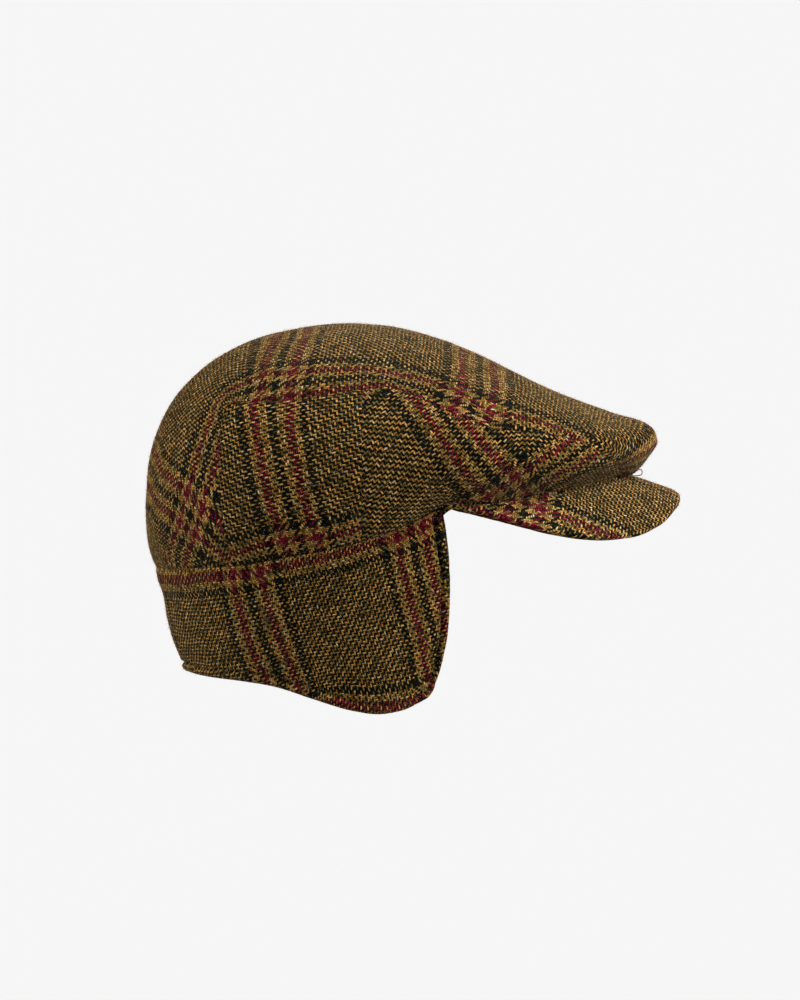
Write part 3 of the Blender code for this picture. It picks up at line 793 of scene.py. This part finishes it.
def tweed(name, fine, pair_u=0, repeat_u=REPEAT_U, reverse=False, gain_with_painted_light=0.9, cast=(1.0, 1.0, 1.12)):
    """A 2-and-2 twill woven of one light and one dark thread each way, with a plaid of
    red and gold stripes over it, drawn thread by thread from the cloth coordinates.
    fine gives the threads in one count along u and along v: each piece was cut and
    pressed with its own draw. gain scales how light the yarns are; where it differs from
    piece to piece it is painted light, the peak made lighter as if it caught more light.
    cast tints the colour bluer and greyer: partly the cloth's tone, partly painted sheen,
    the haze of the crown and the peak."""
    made = bpy.data.materials.new(name)
    made.use_nodes = True
    w = Wires(made)
    shader = w.nodes["Principled BSDF"]
    where = w.nodes.new("ShaderNodeUVMap")
    where.uv_map = "Cloth"
    place = where.outputs["UV"]
    # threads wander a little, slowly and then yarn by yarn
    slow = w.split(w.noise(place, 0.045, 1.0, colour=True))
    quick = w.split(w.noise(place, 0.33, 1.0, colour=True))
    cu, cv, _ = w.split(place)
    u = w.math("ADD", cu, w.math("ADD", w.math("MULTIPLY_ADD", slow[0], 2.2, -1.1), w.math("MULTIPLY_ADD", quick[0], 0.9, -0.45)))
    v = w.math("ADD", cv, w.math("ADD", w.math("MULTIPLY_ADD", slow[1], 2.2, -1.1), w.math("MULTIPLY_ADD", quick[1], 0.9, -0.45)))
    u, v = w.math("MULTIPLY", u, fine[0]), w.math("MULTIPLY", v, fine[1])
    i, j = w.math("FLOOR", u), w.math("FLOOR", v)
    fu, fv = w.math("FRACT", u), w.math("FRACT", v)
    step = w.math("ADD", i, j)
    if reverse:
        step = w.math("ADD", step, 2.0)
    turn = w.math("FLOORED_MODULO", step, 4.0)
    end_up = w.math("LESS_THAN", turn, 1.5)     # the thread that runs along v is on the face
    number = w.pick(end_up, j, i)
    across = w.pick(end_up, fv, fu)
    along = w.math("MULTIPLY", w.pick(end_up, w.math("ADD", w.math("SUBTRACT", turn, 2.0), fu), w.math("ADD", turn, fv)), 0.5)
    run = w.pick(end_up, u, v)
    # which stripe the thread belongs to
    def from_pair(count, threads, middle, repeat):
        at = w.math("DIVIDE", w.math("ADD", count, 0.5), threads)
        shifted = w.math("FLOORED_MODULO", w.math("ADD", at, repeat / 2 - middle), float(repeat))
        return w.math("ABSOLUTE", w.math("SUBTRACT", shifted, repeat / 2))
    out = w.pick(end_up, from_pair(j, fine[1], 0, REPEAT_V), from_pair(i, fine[0], pair_u, repeat_u))
    code = w.split(w.ramp(w.math("DIVIDE", out, 50.0), STRIPE_ORDER, steps=True))
    even = w.math("LESS_THAN", w.math("FLOORED_MODULO", number, 2.0), 0.5)
    free = w.math("SUBTRACT", 1.0, w.math("ADD", w.math("ADD", code[0], code[1]), code[2]), clamp=True)
    gold = w.math("MULTIPLY_ADD", free, even, code[1])
    # the shade of the thread: slubs along it, its own tone, and each float's chance
    kind = w.math("MULTIPLY", end_up, 53.0)
    slub = w.noise(w.join(w.math("MULTIPLY_ADD", number, 7.31, kind), w.math("MULTIPLY", run, 0.13), 0.0), 1.0, 1.5)
    float_id = w.join(number, w.math("FLOOR", w.math("DIVIDE", step, 4.0)), kind)
    chance, chances = w.chance(float_id)
    chances = w.split(chances)
    tone = w.math("ADD", w.math("MULTIPLY_ADD", slub, 1.3, -0.45), w.math("MULTIPLY_ADD", chance, 0.80, -0.10))
    tone = w.math("MULTIPLY", tone, 0.80, clamp=True)
    light = w.ramp(tone, GOLD_YARN)
    dark = w.ramp(tone, DARK_YARN)
    red = w.ramp(tone, RED_YARN)
    yarn = w.colour_mix(gold, dark, light)
    yarn = w.colour_mix(code[2], yarn, red)
    # the round of the thread, and its fibres: its height for the bump, and painted shade in its colour, darker towards
    # each float's sides and ends where it dips between its neighbours; each float also gets its own brightness, at
    # random
    bow = w.math("MULTIPLY", w.math("MULTIPLY", across, w.math("SUBTRACT", 1.0, across)), 4.0)
    rise = w.math("POWER", w.math("MULTIPLY", w.math("MULTIPLY", along, w.math("SUBTRACT", 1.0, along)), 4.0), 0.6)
    height = w.math("MULTIPLY", w.math("POWER", bow, 0.5), w.math("MULTIPLY_ADD", rise, 0.7, 0.3))
    twist = w.math("MULTIPLY_ADD", across, 1.6, w.math("MULTIPLY", run, 1.0))
    fibre = w.noise(w.join(w.math("MULTIPLY_ADD", number, 3.7, w.math("MULTIPLY", across, 3.4)), w.math("MULTIPLY", twist, 1.3), 0.0), 1.6, 2.0)
    # painted shade: the colour darkens where the thread dips into the gaps between threads
    shade = w.math("MULTIPLY", w.math("POWER", bow, 1.2), w.math("MULTIPLY_ADD", rise, 0.8, 0.2))
    depth = w.math("MULTIPLY_ADD", shade, 0.97, 0.03)
    depth = w.math("MULTIPLY", depth, w.math("MULTIPLY_ADD", chances[1], 0.66 * gain_with_painted_light, 0.21 * gain_with_painted_light))
    depth = w.math("MULTIPLY", depth, w.math("MULTIPLY_ADD", fibre, 0.8, 0.6))
    # the cloth as a whole is a little uneven
    wear = w.noise(place, 0.022, 3.0)
    depth = w.math("MULTIPLY", depth, w.math("MULTIPLY_ADD", wear, 0.36, 0.82))
    # the yarn's colour times the painted shade, each float's random brightness and the wear
    yarn_with_painted_shade = w.nodes.new("ShaderNodeVectorMath")
    yarn_with_painted_shade.operation = "SCALE"
    w.put(yarn_with_painted_shade.inputs[0], yarn)
    w.put(yarn_with_painted_shade.inputs["Scale"], depth)
    # cast: a bluer, greyer tint, partly the cloth's own tone, partly painted sheen, the haze that grazing light gives
    # the crown and the peak
    tinted = w.nodes.new("ShaderNodeVectorMath")
    tinted.operation = "MULTIPLY"
    w.put(tinted.inputs[0], yarn_with_painted_shade.outputs[0])
    tinted.inputs[1].default_value = cast
    w.links.new(tinted.outputs[0], shader.inputs["Base Color"])
    rough = w.math("MULTIPLY_ADD", fibre, 0.16, 0.80)
    w.put(shader.inputs["Roughness"], rough)
    shader.inputs["Specular IOR Level"].default_value = 0.0
    shader.inputs["Sheen Weight"].default_value = 0.03
    shader.inputs["Sheen Roughness"].default_value = 0.45
    shader.inputs["Sheen Tint"].default_value = (0.80, 0.74, 0.58, 1.0)
    bump = w.nodes.new("ShaderNodeBump")
    bump.inputs["Strength"].default_value = 0.75
    bump.inputs["Distance"].default_value = 0.00035
    w.put(bump.inputs["Height"], w.math("MULTIPLY_ADD", fibre, 0.22, height))
    w.links.new(bump.outputs[0], shader.inputs["Normal"])
    return made


def plain(name, colour, roughness):
    made = bpy.data.materials.new(name)
    made.use_nodes = True
    shader = made.node_tree.nodes["Principled BSDF"]
    shader.inputs["Base Color"].default_value = colour
    shader.inputs["Roughness"].default_value = roughness
    shader.inputs["Specular IOR Level"].default_value = 0.2
    return made


# ---- sewing ------------------------------------------------------------------------
def shares(count, low=(), high=()):
    """0..1 in `count` even steps, with closer ones at either end."""
    low, high = [0.0, *low], [*(1 - h for h in reversed(high)), 1.0]
    step = 0.6 / count
    even = [k / count for k in range(1, count) if low[-1] + step < k / count < high[0] - step]
    return np.array(low + even + high)


def both_halves(net, axis, flip=False):
    """A net of the right half joined to its mirror image on the centre line, which is
    the first row along axis. flip turns the sign of the first component as well."""
    other = np.flip(net, axis)
    other = np.take(other, range(other.shape[axis] - 1), axis)
    if flip:
        other = other.copy()
        other[..., 0] *= -1
    return np.concatenate([other, net], axis)


def lengths(net, axis):
    """Length along the net from its first row, and to its last, in mm."""
    step = np.linalg.norm(np.diff(net, axis=axis), axis=-1)
    first = np.concatenate([np.zeros_like(np.take(step, [0], axis)), np.cumsum(step, axis)], axis)
    return first, np.take(first, [-1], axis) - first


def normals_of(net, s, t, outward):
    cross = np.cross(np.gradient(net, s, axis=0), np.gradient(net, t, axis=1))
    cross *= np.sign((cross * (net - outward)).sum())
    return cross / np.maximum(np.linalg.norm(cross, axis=-1, keepdims=True), 1e-9)


def uneven(net, size, seed=0.0):
    """Smooth noise in space, about -1 to 1, read at every point of a net."""
    flat = (net / size).reshape(-1, 3)
    found = [noise.noise(Vector((p[0] + seed, p[1], p[2] - seed))) for p in flat]
    return np.array(found).reshape(net.shape[:2]) * 1.5


def round_edge(net, made, cloth, axis, roll):
    """How cloth goes on round the edge at the first row along an axis: the threads in a mm
    past it, and the length that the roll takes up at each point beyond the net's own."""
    d, run = lengths(net, axis)[0], lengths(made, axis)[0]
    at = np.expand_dims((d > roll * 1.1).argmax(axis), axis)
    whole, whole_run = np.take_along_axis(d, at, axis), np.take_along_axis(run, at, axis)
    extra = np.clip(whole_run - run, 0, None) - np.clip(whole - d, 0, None)
    start = np.take_along_axis(cloth, at[..., None], axis)
    step = (np.take(cloth, [0], axis) - start) / np.maximum(whole, 1e-6)[..., None]
    return step, np.maximum(extra, 0.0)[..., None]


def smooth_step(x):
    x = np.clip(x, 0, 1)
    return x * x * (3 - 2 * x)


def steady_corners(normal, rows=6):
    """Normals of a net whose corners, some of them pointed, face the way the cloth next
    to them does."""
    for a, i in ((slice(0, rows), rows), (slice(-rows, None), -rows - 1)):
        for b, j in ((slice(0, rows), rows), (slice(-rows, None), -rows - 1)):
            normal[a, b] = normal[i, j]
    return normal


def sew(name, net, s, t, cloth, wall, outward, rolls, relief, materials, laps=(0.0,) * 4,
        turned=(0.0,) * 4):
    """The finished piece: outer and inner face of a net, joined round rolled edges.
    rolls gives the width of the roll at each edge: first s, last s, first t, last t;
    laps gives how far each edge is tucked past its seam, behind the piece next to it;
    turned gives how far in from each edge the outer cloth goes on, folded over, inside."""
    edges = (*lengths(net, 0), *lengths(net, 1))
    ways = (np.broadcast_to(net[:1] - net[2:3], net.shape), np.broadcast_to(net[-1:] - net[-3:-2], net.shape),
            np.broadcast_to(net[:, :1] - net[:, 2:3], net.shape), np.broadcast_to(net[:, -1:] - net[:, -3:-2], net.shape))
    for d, way, lap in zip(edges, ways, laps):
        way = way / np.maximum(np.linalg.norm(way, axis=-1, keepdims=True), 1e-9)
        net = net + way * (lap * np.clip(1 - d / 2.5, 0, 1) ** 2)[..., None]
    normal = steady_corners(normals_of(net, s, t, outward))
    net = net + normal * relief(net, edges)[..., None]
    normal = steady_corners(normals_of(net, s, t, outward))
    over = sum(np.clip(1 - d / r, 0, 1) ** 2 for d, r in zip(edges, rolls))
    drop = 1 - np.sqrt(np.clip(1 - over, 0, 1))
    outer = net - normal * (drop * wall / 2)[..., None]
    inner = net - normal * (wall - drop * wall / 2)[..., None]
    n, m = net.shape[:2]
    plain_cloth, wraps = cloth, []
    for k, roll in enumerate(rolls):
        axis = k // 2
        turn = (lambda a: np.flip(a, axis)) if k % 2 else (lambda a: a)
        step, extra = round_edge(turn(net), turn(outer), turn(plain_cloth), axis, roll)
        cloth = cloth + turn(step * extra)
        wraps.append((axis, turn, step))
    over_edge = [turn(np.take(turn(cloth), [0], axis) + step * lengths(turn(inner), axis)[0][..., None])
                 for axis, turn, step in wraps]
    outside = np.arange(n * m).reshape(n, m)
    inside = outside.copy()
    inside[1:-1, 1:-1] = n * m + np.arange((n - 2) * (m - 2)).reshape(n - 2, m - 2)
    points = np.concatenate([outer.reshape(-1, 3), inner[1:-1, 1:-1].reshape(-1, 3)]) * MM

    def quads(number):
        return np.stack([number[:-1, :-1], number[1:, :-1], number[1:, 1:], number[:-1, 1:]], -1).reshape(-1, 4)

    corner = outer[1, 0] - outer[0, 0], outer[0, 1] - outer[0, 0]
    middle = n // 2, m // 2
    a = outer[middle[0] + 1, middle[1]] - outer[middle], outer[middle[0], middle[1] + 1] - outer[middle]
    forward = np.dot(np.cross(a[0], a[1]), normal[middle]) > 0
    out_faces, in_faces = quads(outside), quads(inside)
    if forward:
        in_faces = in_faces[:, ::-1]
    else:
        out_faces = out_faces[:, ::-1]
    faces = np.concatenate([out_faces, in_faces])
    mesh = bpy.data.meshes.new(name)
    mesh.from_pydata(points.tolist(), [], faces.tolist())
    grid_of = np.zeros(len(points), int)
    grid_of[: n * m] = np.arange(n * m)
    grid_of[n * m:] = outside[1:-1, 1:-1].ravel()
    loops = grid_of[faces.ravel()]
    is_out = np.repeat(np.arange(len(faces)) < len(out_faces), 4)
    cloth_map = mesh.uv_layers.new(name="Cloth")
    threads = cloth.reshape(-1, 2)[loops]
    to_edge = np.stack([np.broadcast_to(d, (n, m)).reshape(-1)[loops].reshape(-1, 4).mean(-1) for d in edges])
    to_edge = np.where(to_edge < np.array(turned)[:, None], to_edge, np.inf)
    nearest, folded = to_edge.argmin(0), np.isfinite(to_edge.min(0)) & (np.arange(len(faces)) >= len(out_faces))
    for k, wrapped in enumerate(over_edge):
        here = np.repeat(folded & (nearest == k), 4)
        threads[here] = wrapped.reshape(-1, 2)[loops][here]
    cloth_map.data.foreach_set("uv", threads.astype(np.float32).ravel())
    # a map of its own for baking: outer face below, inner face above
    bake = mesh.uv_layers.new(name="OFBake")
    row = np.concatenate([[0], np.cumsum(np.diff(s))]) / (s[-1] - s[0])
    column = (t - t[0]) / (t[-1] - t[0])
    flat = np.stack(np.meshgrid(row, column, indexing="ij"), -1).reshape(-1, 2)[loops]
    flat[:, 0] = 0.004 + 0.992 * flat[:, 0]
    flat[:, 1] = np.where(is_out, 0.004 + 0.696 * flat[:, 1], 0.712 + 0.284 * flat[:, 1])
    bake.data.foreach_set("uv", flat.astype(np.float32).ravel())
    mesh.uv_layers.active = cloth_map
    for made in materials:
        mesh.materials.append(made)
    mesh.polygons.foreach_set("material_index", np.where(is_out[::4] | folded, 0, len(materials) - 1).astype(np.int32))
    mesh.update()
    mesh.validate()
    mesh.shade_smooth()
    piece = bpy.data.objects.new(name, mesh)
    bpy.context.scene.collection.objects.link(piece)
    nap(name.replace("tweed_", "nap_"), outer, normal)
    return piece


def nap(name, surface, normal):
    """Loose ends of wool that stand off a surface: thin, tapered and closed."""
    rng = np.random.default_rng(len(name) * 7 + surface.shape[0])
    side, side_b = surface[1:, :-1] - surface[:-1, :-1], surface[:-1, 1:] - surface[:-1, :-1]
    area = np.linalg.norm(np.cross(side, side_b), axis=-1).ravel().cumsum()
    count = int(area[-1] * NAP_PER_MM2)
    i, j = np.divmod(np.searchsorted(area, rng.random(count) * area[-1]), surface.shape[1] - 1)
    f, g = rng.random((2, count, 1))

    def read(net):
        return ((1 - f) * (1 - g) * net[i, j] + f * (1 - g) * net[i + 1, j]
                + (1 - f) * g * net[i, j + 1] + f * g * net[i + 1, j + 1])

    def unit(v):
        return v / np.maximum(np.linalg.norm(v, axis=-1, keepdims=True), 1e-9)

    def flat_way():
        v = rng.normal(size=(count, 3))
        return unit(v - (v * out).sum(-1, keepdims=True) * out)

    out = unit(read(normal))
    foot = read(surface) - 0.12 * out
    lie, lift = flat_way(), rng.uniform(0.15, 1.0, (count, 1))
    long = 0.9 + 2.3 * rng.random((count, 1)) ** 2.2
    first = unit(lie + lift * out)
    second = unit(lie + 0.9 * flat_way() + 0.35 * lift * out)
    knee = foot + first * long * 0.55
    tip = knee + second * long * 0.45
    across = unit(np.cross(first, out))
    up = np.cross(across, first)
    thick = rng.uniform(0.026, 0.048, (count, 1))
    rings = []
    for middle, size in ((foot, 1.0), (knee, 0.7)):
        for k in range(3):
            angle = 2 * math.pi * k / 3
            rings.append(middle + thick * size * (math.cos(angle) * across + math.sin(angle) * up))
    points = np.stack([*rings, tip], 1).reshape(-1, 3) * MM
    sides = ((0, 1, 4, 3), (1, 2, 5, 4), (2, 0, 3, 5))
    ends = ((2, 1, 0), (3, 4, 6), (4, 5, 6), (5, 3, 6))
    faces = [[7 * k + c for c in face] for k in range(count) for face in sides + ends]
    mesh = bpy.data.meshes.new(name)
    mesh.from_pydata(points.tolist(), [], faces)
    for made in NAP_WOOL:
        mesh.materials.append(made)
    tone = np.repeat(rng.choice(len(NAP_WOOL), count, p=(0.42, 0.33, 0.25)), len(sides) + len(ends))
    mesh.polygons.foreach_set("material_index", tone.astype(np.int32))
    mesh.update()
    loose = bpy.data.objects.new(name, mesh)
    bpy.context.scene.collection.objects.link(loose)
    loose_ends.append(loose)


def tube(name, path, radius, sides, material):
    """A closed round thread along a list of points, mm."""
    path = np.array(path, float)
    way = np.gradient(path, axis=0)
    way /= np.linalg.norm(way, axis=1, keepdims=True)
    across = np.cross(way, (1.0, 0.3, 0.2))
    across /= np.linalg.norm(across, axis=1, keepdims=True)
    up = np.cross(way, across)
    turns = np.arange(sides) * 2 * math.pi / sides
    rings = path[:, None] + radius * (np.cos(turns)[None, :, None] * across[:, None] + np.sin(turns)[None, :, None] * up[:, None])
    rows = len(path)
    faces = [[r * sides + k, r * sides + (k + 1) % sides, (r + 1) * sides + (k + 1) % sides, (r + 1) * sides + k]
             for r in range(rows - 1) for k in range(sides)]
    faces += [list(range(sides))[::-1], [(rows - 1) * sides + k for k in range(sides)]]
    mesh = bpy.data.meshes.new(name)
    mesh.from_pydata((rings.reshape(-1, 3) * MM).tolist(), [], faces)
    mesh.materials.append(material)
    mesh.update()
    mesh.shade_smooth()
    made = bpy.data.objects.new(name, mesh)
    bpy.context.scene.collection.objects.link(made)
    return made


def seam_relief(d, ripple):
    """Cloth near a seam: drawn in towards it and puckered a little."""
    return -0.30 * np.exp(-((d / 2.2) ** 2)) + 0.18 * ripple * np.exp(-((d / 5.0) ** 2))


def crown_relief(net, edges):
    ripple = uneven(net, 5.0)
    height = 0.55 * uneven(net, 42.0, 3.1) + 0.22 * uneven(net, 17.0, 8.7) + 0.06 * uneven(net, 7.0, 1.3)
    for d in edges:
        height = height + seam_relief(d, ripple)
    return height


def lip_relief(net, edges):
    """A front side panel: its lower edge stands off the peak that it rests on."""
    stands = 1.25 * np.exp(-((edges[2] / 3.4) ** 2)) * smooth_step((-net[..., 1] - 52.0) / 14.0)
    free = smooth_step(edges[0] / 9.0) * smooth_step(edges[1] / 9.0) * (1 - np.exp(-((edges[3] / 4.5) ** 2)))
    return crown_relief(net, edges) + stands * free


def band_relief(net, edges):
    front = np.minimum(edges[0], edges[1])
    low, high = edges[2], edges[3]
    ripple = uneven(net, 5.0)
    height = 0.45 * uneven(net, 38.0, 5.2) + 0.20 * uneven(net, 16.0, 2.9) + 0.05 * uneven(net, 7.0, 1.3)
    height = height + seam_relief(high, ripple)
    # the turned hem, round the front edge and the lower edge
    to_hem = np.minimum(low, front * 0.92)
    run = np.where(low < front, edges[0], low)
    fade = smooth_step(high / 12.0)
    hem = 0.95 * smooth_step(to_hem / 2.2) * (1 - smooth_step((to_hem - 3.2) / 1.9))
    groove = np.exp(-(((to_hem - 5.3) / 0.80) ** 2))
    stitch = 0.5 + 0.5 * np.cos(2 * math.pi * run / 3.4)
    height = height + (hem - groove * (1.15 + 0.25 * stitch) + 0.14 * ripple * np.exp(-(((to_hem - 5) / 4.0) ** 2))) * np.maximum(fade, 0.0)
    return height


def peak_relief(net, edges):
    height = 0.16 * uneven(net, 34.0, 6.4) + 0.06 * uneven(net, 9.0, 1.3)
    rim = edges[3]
    # the cloth sinks in a little where the crown's edge rests on it
    rests = np.concatenate([side_front_net(np.linspace(0, 1, 150), np.zeros(1))[:, 0], top_net(np.linspace(0.9, 1, 60), np.ones(1))[:, 0],
                            top_net(np.ones(1), np.linspace(0, 1, 30))[0]])
    half = np.abs(net) * (1, 0, 0) + net * (0, 1, 1)
    away = np.min([np.linalg.norm(half - point, axis=-1) for point in rests], axis=0)
    height = height - 2.5 * np.exp(-((away / 1.9) ** 2)) * smooth_step((-net[..., 1] - 50.0) / 10.0)
    return height - 0.30 * np.exp(-(((rim - 2.6) / 0.5) ** 2)) + 0.10 * np.exp(-((rim / 1.6) ** 2))


MIDDLE = np.array([0.0, -20.0, 0.0])
BAND_MIDDLE = np.array([0.0, 0.0, -30.0])
UNDER_PEAK = np.array([0.0, -100.0, -400.0])


def from_rows(net):
    return -np.gradient(net, axis=0)


def steady(*way):
    return lambda net: np.broadcast_to(np.array(way, float), net.shape)


SEAM, FINE_SEAM = 0.85, 0.45     # width of the roll into a seam
EDGE_CLOSE = (0.0006, 0.0018, 0.0036, 0.0062)
TACK = (0.0010, 0.0032, 0.0064, 0.0110, 0.0170)

laid = {
    "crown_top": lay_cloth("crown_top", top_net, (49, 15), MIDDLE, from_rows, "t"),
    "side_rear": lay_cloth("side_rear", side_rear_net, (17, 17), MIDDLE, steady(0, 0.976, -0.226), None),
    "side_front": lay_cloth("side_front", side_front_net, (27, 15), MIDDLE, steady(0, 0.8, -0.6), None),
    "flap_band": lay_cloth("flap_band", band_net, (37, 15), BAND_MIDDLE, steady(0, 0.28, 0.96), "s"),
    "peak": lay_cloth("peak", peak_net, (21, 13), UNDER_PEAK, steady(0, 1.0, 0), "s"),
}

CROWN_FINE, SIDE_FINE, PEAK_FINE, BAND_FINE = (1.05, 1.04), (1.10, 0.945), (1.02, 1.07), (1.267, 1.05)
# gain and cast differ from piece to piece: painted light in how light each piece looks, and a bluer, greyer cast that
# is partly the cloth's tone, partly painted sheen
crown_tweed = tweed("crown_tweed", CROWN_FINE)
crown_back = tweed("crown_tweed_reverse", CROWN_FINE, reverse=True)
side_tweed, side_back = (tweed("side_tweed_right" + word, SIDE_FINE, -180, 106, reverse, 0.95) for word, reverse in (("", False), ("_reverse", True)))
left_tweed, left_back = (tweed("side_tweed_left" + word, SIDE_FINE, 180, 106, reverse, 0.95) for word, reverse in (("", False), ("_reverse", True)))
# painted light: the peak is made lighter (gain 1.3) as if it caught more light, and its cast is bluer and greyer for
# painted sheen
peak_tweed = tweed("peak_tweed", PEAK_FINE, gain_with_painted_light=1.3, cast=(1.0, 1.02, 1.2))
band_tweed = tweed("band_tweed", BAND_FINE, gain_with_painted_light=0.80, cast=(1.0, 1.0, 1.05))
band_back = tweed("band_tweed_reverse", BAND_FINE, reverse=True, gain_with_painted_light=0.80, cast=(1.0, 1.0, 1.05))

NAP_PER_MM2 = 0.30           # loose wool ends on a square millimetre
NAP_WOOL = (plain("nap_gold", linear(118, 92, 46), 0.85), plain("nap_tan", linear(150, 134, 96), 0.85),
            plain("nap_dark", linear(40, 38, 26), 0.85))
loose_ends = []
pieces = []

# the long centre panel
s = shares(185, EDGE_CLOSE, EDGE_CLOSE)
t = shares(52, (), TACK)
net = top_net(s, t)
net[..., 0] *= -1
cloth = cloth_at(laid["crown_top"], s, t)
both_t = np.concatenate([-t[:0:-1], t])
crown_top = sew("tweed_crown_top", both_halves(net, 1, True), s, both_t, both_halves(cloth, 1, True),
                CROWN_WALL, MIDDLE, (SEAM, SEAM, FINE_SEAM, FINE_SEAM), crown_relief, (crown_tweed, crown_back),
                (1.2, 0.5, 0.3, 0.3))
pieces.append((crown_top, "crown_top", "crown_tweed"))

# the side panels
for kind, net_of, steps in (("side_rear", side_rear_net, (52, 60)), ("side_front", side_front_net, (92, 50))):
    s, t = shares(steps[0], TACK, TACK), shares(steps[1], TACK, TACK)
    right = net_of(s, t)
    right[..., 0] *= -1
    right_cloth = cloth_at(laid[kind], s, t)
    for side, word in ((1, "right"), (-1, "left")):
        mirror, mirror_cloth = right.copy(), right_cloth.copy()
        mirror[..., 0] *= side
        mirror_cloth[..., 0] *= side
        piece = sew(f"tweed_{kind}_{word}", mirror, s, t, mirror_cloth, CROWN_WALL, MIDDLE,
                    (FINE_SEAM, FINE_SEAM, 1.3 if kind == "side_rear" else 1.9, FINE_SEAM),
                    crown_relief if kind == "side_rear" else lip_relief,
                    (side_tweed, side_back) if side > 0 else (left_tweed, left_back), (0.3, 0.3, 0.9, 0.3))
        pieces.append((piece, f"{kind}_{word}", "side_tweed"))

# the peak
s = shares(104, (), TACK)
t = shares(104, TACK, (0.002, 0.006, 0.012, 0.019, 0.027, 0.036, 0.046, 0.058, 0.072, 0.088))
net = peak_net(s, t)
net[..., 0] *= -1
cloth = cloth_at(laid["peak"], s, t)
both_s = np.concatenate([-s[:0:-1], s])
piece = sew("tweed_peak", both_halves(net, 0, True), both_s, t, both_halves(cloth, 0, True),
            PEAK_WALL, UNDER_PEAK, (1.0, 1.0, 1.7, 1.9), peak_relief, (peak_tweed,),
            turned=(0, 0, 0, 5.0))
pieces.append((piece, "peak", "peak_tweed"))

# the band with its two flaps
hem_rows = tuple(0.0012 * k**1.25 for k in range(1, 6)) + tuple(0.0095 + 0.0062 * k for k in range(1, 22))
front_rows = (0.0006, 0.0018, 0.0036, 0.0062, 0.009) + tuple(0.009 + 0.0027 * k for k in range(1, 16))
s = shares(100, (), front_rows)
t = shares(56, hem_rows, TACK)
net = band_net(s, t)
net[..., 0] *= -1
cloth = cloth_at(laid["flap_band"], s, t)
both_s = np.concatenate([-s[:0:-1], s])
piece = sew("tweed_flap_band", both_halves(net, 0, True), both_s, t, both_halves(cloth, 0, True),
            BAND_WALL, BAND_MIDDLE, (1.4, 1.4, 1.4, SEAM), band_relief, (band_tweed, band_back),
            (0, 0, 0, 0.4), (6.5, 6.5, 6.5, 0))
pieces.append((piece, "flap_band", "band_tweed"))

for piece, node, slot in pieces:
    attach(piece, "root")
    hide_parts(node)
for loose in loose_ends:
    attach(loose, "root")

# the tack thread between the crown's lip and the peak: a short open loop
weights = blend_weights(np.linspace(0, 1, 61), len(TACK_LOOP))
tack = tube("tack_thread", weights @ np.array(TACK_LOOP), 0.28, 8, plain("tack_thread", linear(112, 82, 44), 0.7))
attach(tack, "root")

# ---- floor, light and camera --------------------------------------------------------
SURROUND = 0.921             # what floor and surroundings look like, linear
SUNS = (  # name, towards, strength: what a white surface facing it would look like
    ("soft_sun_front", (-0.17, -0.88, 0.42), 2.95),
    ("soft_sun_back", (-0.12, 0.84, 0.52), 1.62),
)
SUN = sum(strength * Vector(way).normalized().z for _, way, strength in SUNS)
floor_mesh = bpy.data.meshes.new("floor")
floor_mesh.from_pydata([(-150, -150, -0.30), (150, -150, -0.30), (150, 150, -0.30), (-150, 150, -0.30)], [], [(0, 1, 2, 3)])
floor = bpy.data.objects.new("floor", floor_mesh)
bpy.context.scene.collection.objects.link(floor)
floor_paint = plain("floor_paint", (SURROUND / (SURROUND + SUN),) * 3 + (1.0,), 1.0)
floor_paint.node_tree.nodes["Principled BSDF"].inputs["Specular IOR Level"].default_value = 0.0
floor_mesh.materials.append(floor_paint)

world = bpy.data.worlds.new("studio")
bpy.context.scene.world = world
world.use_nodes = True
world.node_tree.nodes["Background"].inputs["Color"].default_value = (SURROUND, SURROUND, SURROUND, 1.0)
world.node_tree.nodes["Background"].inputs["Strength"].default_value = 1.0

for name, way, strength in SUNS:
    toward_light = Vector(way).normalized()
    sun_data = bpy.data.lights.new(name, "SUN")
    sun_data.angle = math.radians(50)
    sun_data.energy = strength * math.pi
    sun = bpy.data.objects.new(name, sun_data)
    bpy.context.scene.collection.objects.link(sun)
    sun.rotation_mode = "QUATERNION"
    sun.rotation_quaternion = toward_light.to_track_quat("Z", "Y")

camera_data = bpy.data.cameras.new("camera")
camera = bpy.data.objects.new("camera", camera_data)
bpy.context.scene.collection.objects.link(camera)
bpy.context.scene.camera = camera
aim = Vector((0.0, AIM_Y, AIM_Z)) * MM
back = Vector((-math.cos(VIEW_LIFT), 0.0, math.sin(VIEW_LIFT)))
camera.location = aim + back * VIEW_FAR * MM
camera.rotation_mode = "QUATERNION"
camera.rotation_quaternion = back.to_track_quat("Z", "Y")
camera_data.sensor_width = 36.0
camera_data.lens = 36.0 * VIEW_FAR / 500.0
camera_data.clip_start, camera_data.clip_end = 0.1, 400.0
bpy.context.scene.view_settings.view_transform = "Standard"

bpy.context.view_layer.update()
